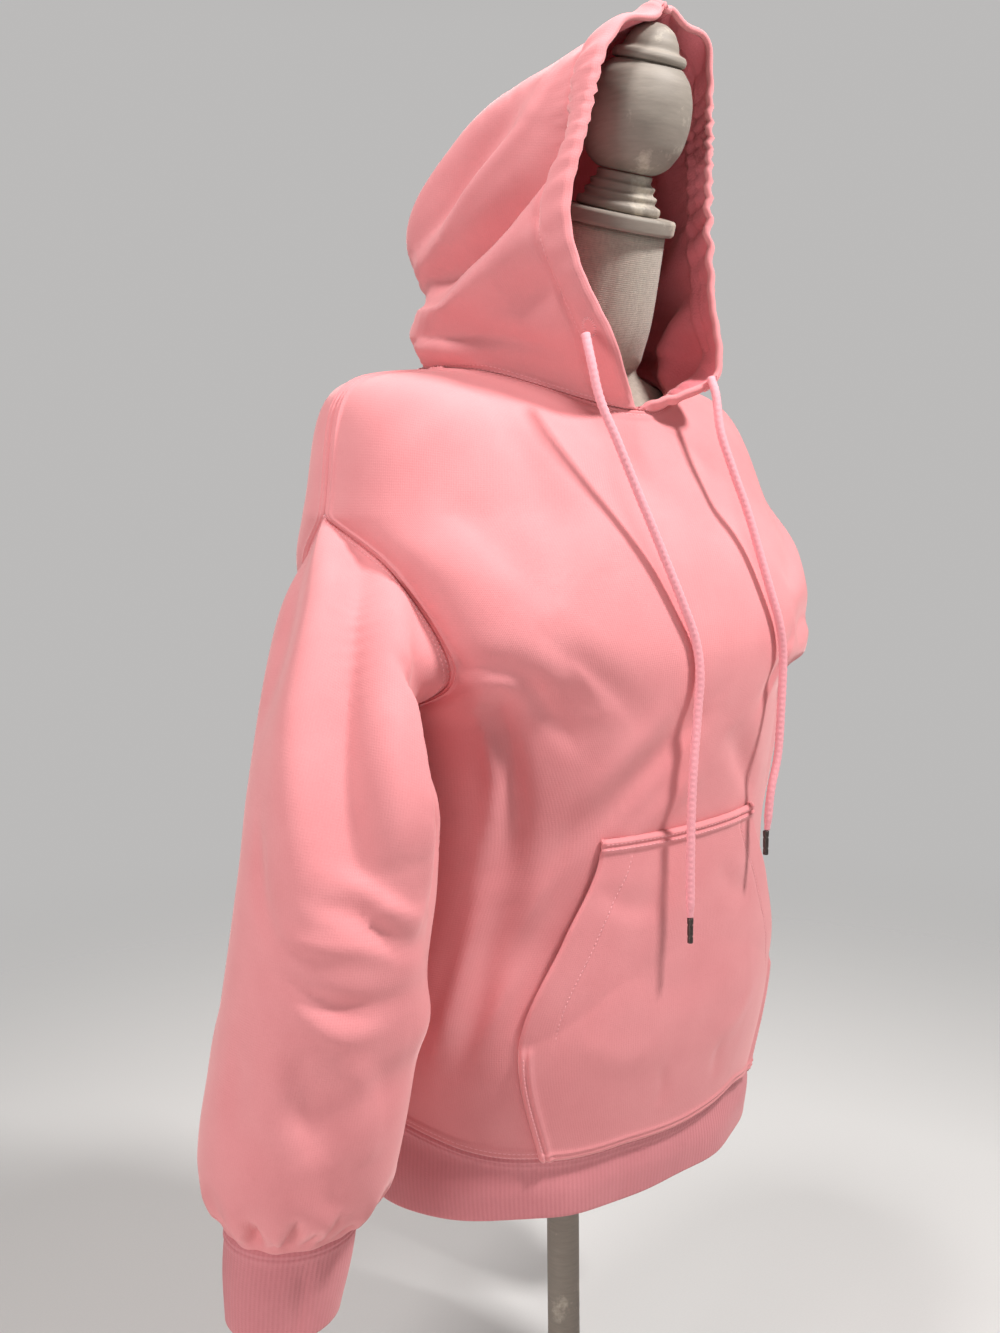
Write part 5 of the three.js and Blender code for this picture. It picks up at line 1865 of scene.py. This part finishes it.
@dataclass
class DressForm:
    """The limbless linen-covered form, its turned neck and finial, its post and its base."""

    rows: int = 120
    columns: int = 96
    turning: tuple = (
        (0, 0), (33, 0), (33, 6), (27, 8), (29, 13), (24, 15), (26, 20), (21, 22), (22, 28), (0, 28),
    )
    urn: tuple = (
        (0, 0), (22, 0), (32, 7), (39, 20), (41.5, 38), (39.5, 55), (34.5, 68), (27, 76), (23, 77),
    )
    bead: tuple = (
        (27.5, 77.6), (28.5, 81), (27, 84.4), (21.5, 86), (20, 92), (15, 100), (7.5, 104.4), (0, 104.9),
    )
    base_radius: float = 170.0
    base_height: float = 24.0
    post_radius: float = 16.0
    seam_turns: tuple[float, ...] = (0.25, 0.5, 0.75, 0.0, 0.36, 0.14, 0.64, 0.86)
    seam_depth: float = 0.5
    seam_width: float = 2.5
    drawn_in: tuple[float, ...] = (0.001, 0.5, 0.93)

    def build(self, finishes: Finishes) -> None:
        """Makes every piece of the form.

        Args:
            finishes: The materials.
        """
        self._torso(finishes.linen)
        plate = PLATE_CENTRE - NECK_AXIS * PLATE_THICKNESS / 2 + np.array((0, 0, HEM_HEIGHT))
        rim = PLATE_RADIUS
        Turned(
            "neck_plate_disc", "neck_plate", "painted_wood",
            ((0, 0), (rim - 1.5, 0), (rim, 2), (rim, 10), (rim - 1.5, 12), (0, 12)), NECK_LEAN,
        ).build(finishes.wood, tuple(plate))
        foot = plate + NECK_AXIS * (PLATE_THICKNESS + SEAM_GAP)
        Turned("neck_turning_grooves", "neck_turning", "painted_wood", self.turning, NECK_LEAN).build(
            finishes.wood, tuple(foot)
        )
        Turned("finial_urn", "finial", "painted_wood", self.urn + self.bead, NECK_LEAN, rounding=6).build(
            finishes.wood, tuple(foot + NECK_AXIS * (self.turning[-1][1] + SEAM_GAP))
        )
        low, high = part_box("form_post")
        radius = self.post_radius
        tall = (high[2] - low[2]) / MM
        Turned(
            "form_post_pole", "form_post", "painted_wood",
            ((0, 0), (radius, 0), (radius, 14), (radius - 1.5, 18), (radius - 1.5, tall - 14),
             (radius, tall - 10), (radius, tall), (0, tall)),
            segments=64,
        ).build(finishes.wood, ((low[0] + high[0]) / 2 / MM, (low[1] + high[1]) / 2 / MM, low[2] / MM))
        radius, tall = self.base_radius, self.base_height
        Turned(
            "form_base_disc", "form_base", "painted_wood",
            ((0, 0), (radius - 2, 0), (radius, 2), (radius, 12), (radius - 6, 17), (radius - 10, 18),
             (radius - 18, tall - 2), (40, tall), (0, tall)),
            segments=128,
        ).build(finishes.wood, (0, 0, 0))
        log.info("dress form done")

    def _torso(self, linen: bpy.types.Material) -> None:
        """The smooth torso with its panel seams, closed at the neck and at the bottom.

        Args:
            linen: Its finish.
        """
        table = np.array(TORSO_SECTIONS, float)
        height, wide, front, back, lean = spline(table, np.linspace(0, len(table) - 1, self.rows)).T
        angle = 2 * math.pi * np.arange(self.columns)[None] / self.columns
        middle, deep = ((front + back) / 2)[:, None], ((back - front) / 2)[:, None]
        lean = lean[:, None]
        grid = np.stack(
            [
                wide[:, None] * np.cos(angle),
                middle + deep * np.sin(angle) * np.cos(lean),
                height[:, None] + deep * np.sin(angle) * np.sin(lean),
            ],
            -1,
        )
        shell = Shell("form_torso_cover", grid, wraps=True)
        seam = np.zeros_like(grid[..., 0])
        for turn in self.seam_turns:
            away = (angle / (2 * math.pi) - turn + 0.5) % 1 - 0.5
            seam -= self.seam_depth * np.exp(-((away * 2 * math.pi * wide[:, None] / self.seam_width) ** 2))
        shell.lift(seam)
        low, top = (
            [row.mean(1, keepdims=True) + (row - row.mean(1, keepdims=True)) * share for share in shares]
            for row, shares in ((shell.outer[:1], self.drawn_in), (shell.outer[-1:], self.drawn_in[::-1]))
        )
        shell.outer = np.concatenate([*low, shell.outer, *top])
        stand_in(shell.solid(linen), "form_torso")


# ---- the studio ----
@dataclass(frozen=True)
class SoftBox:
    """A square soft box that faces the garment.

    azimuth is in degrees from the garment's front towards its left, and elevation is in degrees
    above the level. distance, size and aim, the height that it faces, are in metres; power is in
    watts.
    """

    name: str
    azimuth: float
    elevation: float
    distance: float
    size: float
    power: float
    aim: float

    def place(self) -> None:
        """Puts it in the scene."""
        a, e = math.radians(self.azimuth), math.radians(self.elevation)
        away = Vector((math.sin(a) * math.cos(e), -math.cos(a) * math.cos(e), math.sin(e)))
        data = bpy.data.lights.new(self.name, "AREA")
        data.size = self.size
        data.energy = self.power
        lamp = bpy.data.objects.new(self.name, data)
        lamp.location = away * self.distance + Vector((0.0, 0.0, self.aim))
        lamp.rotation_euler = away.to_track_quat("Z", "Y").to_euler()
        bpy.context.scene.collection.objects.link(lamp)


@dataclass
class Studio:
    """A pale floor, soft lights and the camera, at three-quarters from the garment's right."""

    azimuth: float = math.radians(-40)
    pitch: float = math.radians(8)
    roll: float = math.radians(-0.8)
    lens: float = 23.856
    sensor: float = 24.0
    aside: float = -50.0
    aim_height: float = 412.0
    distance: float = 1130.0
    soft_boxes: tuple[SoftBox, ...] = (
        SoftBox("key", 22, 50, 1.8, 0.25, 46.0, 1.0),
        SoftBox("above", -75, 68, 1.7, 0.3, 22.0, 1.0),
        SoftBox("side", -80, 6, 1.8, 0.5, 8.0, 0.55),
        SoftBox("rim", 150, 34, 2.3, 0.8, 16.0, 0.85),
    )
    floor_half: float = 3.0

    def camera(self) -> None:
        """Places the camera."""
        a, e, r = self.azimuth, self.pitch, self.roll
        back = np.array((math.sin(a) * math.cos(e), -math.cos(a) * math.cos(e), math.sin(e)))
        level = np.array((math.cos(a), math.sin(a), 0.0))
        rise = np.array((-math.sin(a) * math.sin(e), math.cos(a) * math.sin(e), math.cos(e)))
        right = level * math.cos(r) + rise * math.sin(r)
        up = rise * math.cos(r) - level * math.sin(r)
        target = level * self.aside + np.array((0, 0, self.aim_height + HEM_HEIGHT))
        place = (target + back * self.distance) * MM
        data = bpy.data.cameras.new("camera")
        data.sensor_fit = "VERTICAL"
        data.sensor_height = self.sensor
        data.lens = self.lens
        data.clip_start = 0.02
        camera = bpy.data.objects.new("camera", data)
        turn = Matrix((tuple(right), tuple(up), tuple(back))).transposed()
        camera.matrix_world = Matrix.Translation(Vector(place)) @ turn.to_4x4()
        bpy.context.scene.collection.objects.link(camera)
        bpy.context.scene.camera = camera

    def lights(self) -> None:
        """A high key at the front left, two lights at the right, a rim light and a pale room.

        One light at the right is high and the other low. The room is dim overhead, so that the
        small lights still cast clear shadows.
        """
        for soft_box in self.soft_boxes:
            soft_box.place()
        world = bpy.data.worlds.new("room")
        world.use_nodes = True
        tree = world.node_tree
        direction = add(tree, "ShaderNodeTexCoord").outputs["Generated"]
        height = add(tree, "ShaderNodeSeparateXYZ", {0: direction}).outputs["Z"]
        glow = add(
            tree, "ShaderNodeMapRange",
            {"Value": height, "From Min": 0.3, "From Max": 0.62, "To Min": 0.5, "To Max": 0.05},
            interpolation_type="SMOOTHSTEP",
        )
        background = tree.nodes["Background"]
        background.inputs["Color"].default_value = (1.0, 0.985, 0.975, 1.0)
        tree.links.new(glow.outputs["Result"], background.inputs["Strength"])
        bpy.context.scene.world = world
        bpy.context.scene.view_settings.view_transform = "Standard"

    def floor(self) -> None:
        """A plain pale floor that fades into the room all round."""
        mesh = bpy.data.meshes.new("floor")
        half = self.floor_half
        corners = [(-half, -half, 0), (half, -half, 0), (half, half, 0), (-half, half, 0)]
        mesh.from_pydata(corners, [], [(0, 1, 2, 3)])
        material, tree, shader = blank("matte_seamless_paper", {"Roughness": 0.9})
        solid = add(tree, "ShaderNodeTexCoord").outputs["Object"]
        pulp = add(tree, "ShaderNodeTexNoise", {"Vector": solid, "Scale": 400.0})
        tree.links.new(mixed(tree, pulp.outputs["Fac"], "#DEDBD8", "#E3E0DD"), shader.inputs["Base Color"])
        far = add(tree, "ShaderNodeVectorMath", {0: solid}, operation="LENGTH").outputs["Value"]
        fade = add(
            tree, "ShaderNodeMapRange",
            {"Value": far, "From Min": 0.6, "From Max": 2.4, "To Min": 1.0, "To Max": 0.0},
            interpolation_type="SMOOTHSTEP",
        )
        tree.links.new(fade.outputs["Result"], shader.inputs["Alpha"])
        mesh.materials.append(material)
        link("floor", mesh)


def sew(
    body: Body, sleeves: list[Sleeve], hoods: list[Hood], pocket: Pocket, thread: bpy.types.Material
) -> None:
    """Sews every visible row of topstitching, the two buttonholes and the cover thread.

    Args:
        body: The front and back.
        sleeves: Both sleeves with their cuffs.
        hoods: Both halves of the hood.
        pocket: The kangaroo pocket.
        thread: The thread's finish.
    """
    seams = Stitches("topstitching")
    for shell in (body.front, body.back):
        for distance in SEAM_ROWS:
            seams.row(shell.line(Edge.START, distance))
            seams.row(shell.line(Edge.END, distance))
    for sleeve in sleeves:
        for distance in SEAM_ROWS:
            seams.row(sleeve.sleeve.line(Edge.START, distance))
    for hood in hoods:
        for distance in SEAM_ROWS:
            seams.row(hood.shell.line(Edge.START, distance))
            seams.row(hood.shell.line(Edge.LEFT, distance))
        seams.row(hood.shell.line(Edge.RIGHT, FACING_ROW), start=2.0, end=14.0)
        seams.row(hood.shell.line(Edge.END, CROWN_ROW), start=4.0, end=30.0)
        seams.buttonhole(hood.shell, (RIGHT_CORD if hood.side < 0 else LEFT_CORD)[0])
    for distance in POCKET_ROWS:
        seams.row(pocket.shell.line(Edge.END, distance), start=3.0, end=3.0)
    for edge in (Edge.LEFT, Edge.RIGHT):
        seams.row(pocket.side_row(edge, FACING_ROW, POCKET_LOW_ROW + 0.1, POCKET_TOP_ROW - 0.3))
        seams.row(pocket.side_row(edge, POCKET_ROWS[0], -1.0, POCKET_LOW_ROW - 0.05))
    seams.build(thread)
    # The cover thread lies along each armhole seam in the same brighter thread, partly a painted highlight
    # along the seam.
    covers = Stitches("cover_thread", length=3.6, pitch=2.4, radius=0.95)
    for sleeve in sleeves:
        covers.row(sleeve.sleeve.line(Edge.START, 0.0))
    covers.build(thread)


def main() -> None:
    """Builds the camera and cords first, then the garment, the form and the studio."""
    logging.basicConfig(level=logging.INFO, format="%(message)s")
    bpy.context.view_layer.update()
    studio = Studio()
    studio.camera()
    finishes = Finishes()
    Drawcord("right", RIGHT_CORD).build(finishes)
    Drawcord("left", LEFT_CORD).build(finishes)
    body = Body()
    body.build(finishes)
    sleeves = [
        Sleeve(-1, RIGHT_SLEEVE, RIGHT_CUFF, RIGHT_SLEEVE_CREASES, RIGHT_GATHERS),
        Sleeve(1, LEFT_SLEEVE, LEFT_CUFF, LEFT_SLEEVE_CREASES, LEFT_GATHERS),
    ]
    hoods = [
        Hood(-1, HOOD_EDGE_RIGHT, HOOD_ROLL_RIGHT, HOOD_RIGHT_CREASES, (0.14, 0.58)),
        Hood(1, HOOD_EDGE_LEFT, HOOD_ROLL_LEFT, HOOD_LEFT_CREASES, (0.24, 0.4)),
    ]
    pocket, hem = Pocket(body), HemBand()
    for piece in (*sleeves, *hoods, pocket, hem):
        piece.build(finishes)
    sew(body, sleeves, hoods, pocket, finishes.thread)
    DressForm().build(finishes)
    studio.lights()
    studio.floor()


if __name__ == "__main__":
    main()
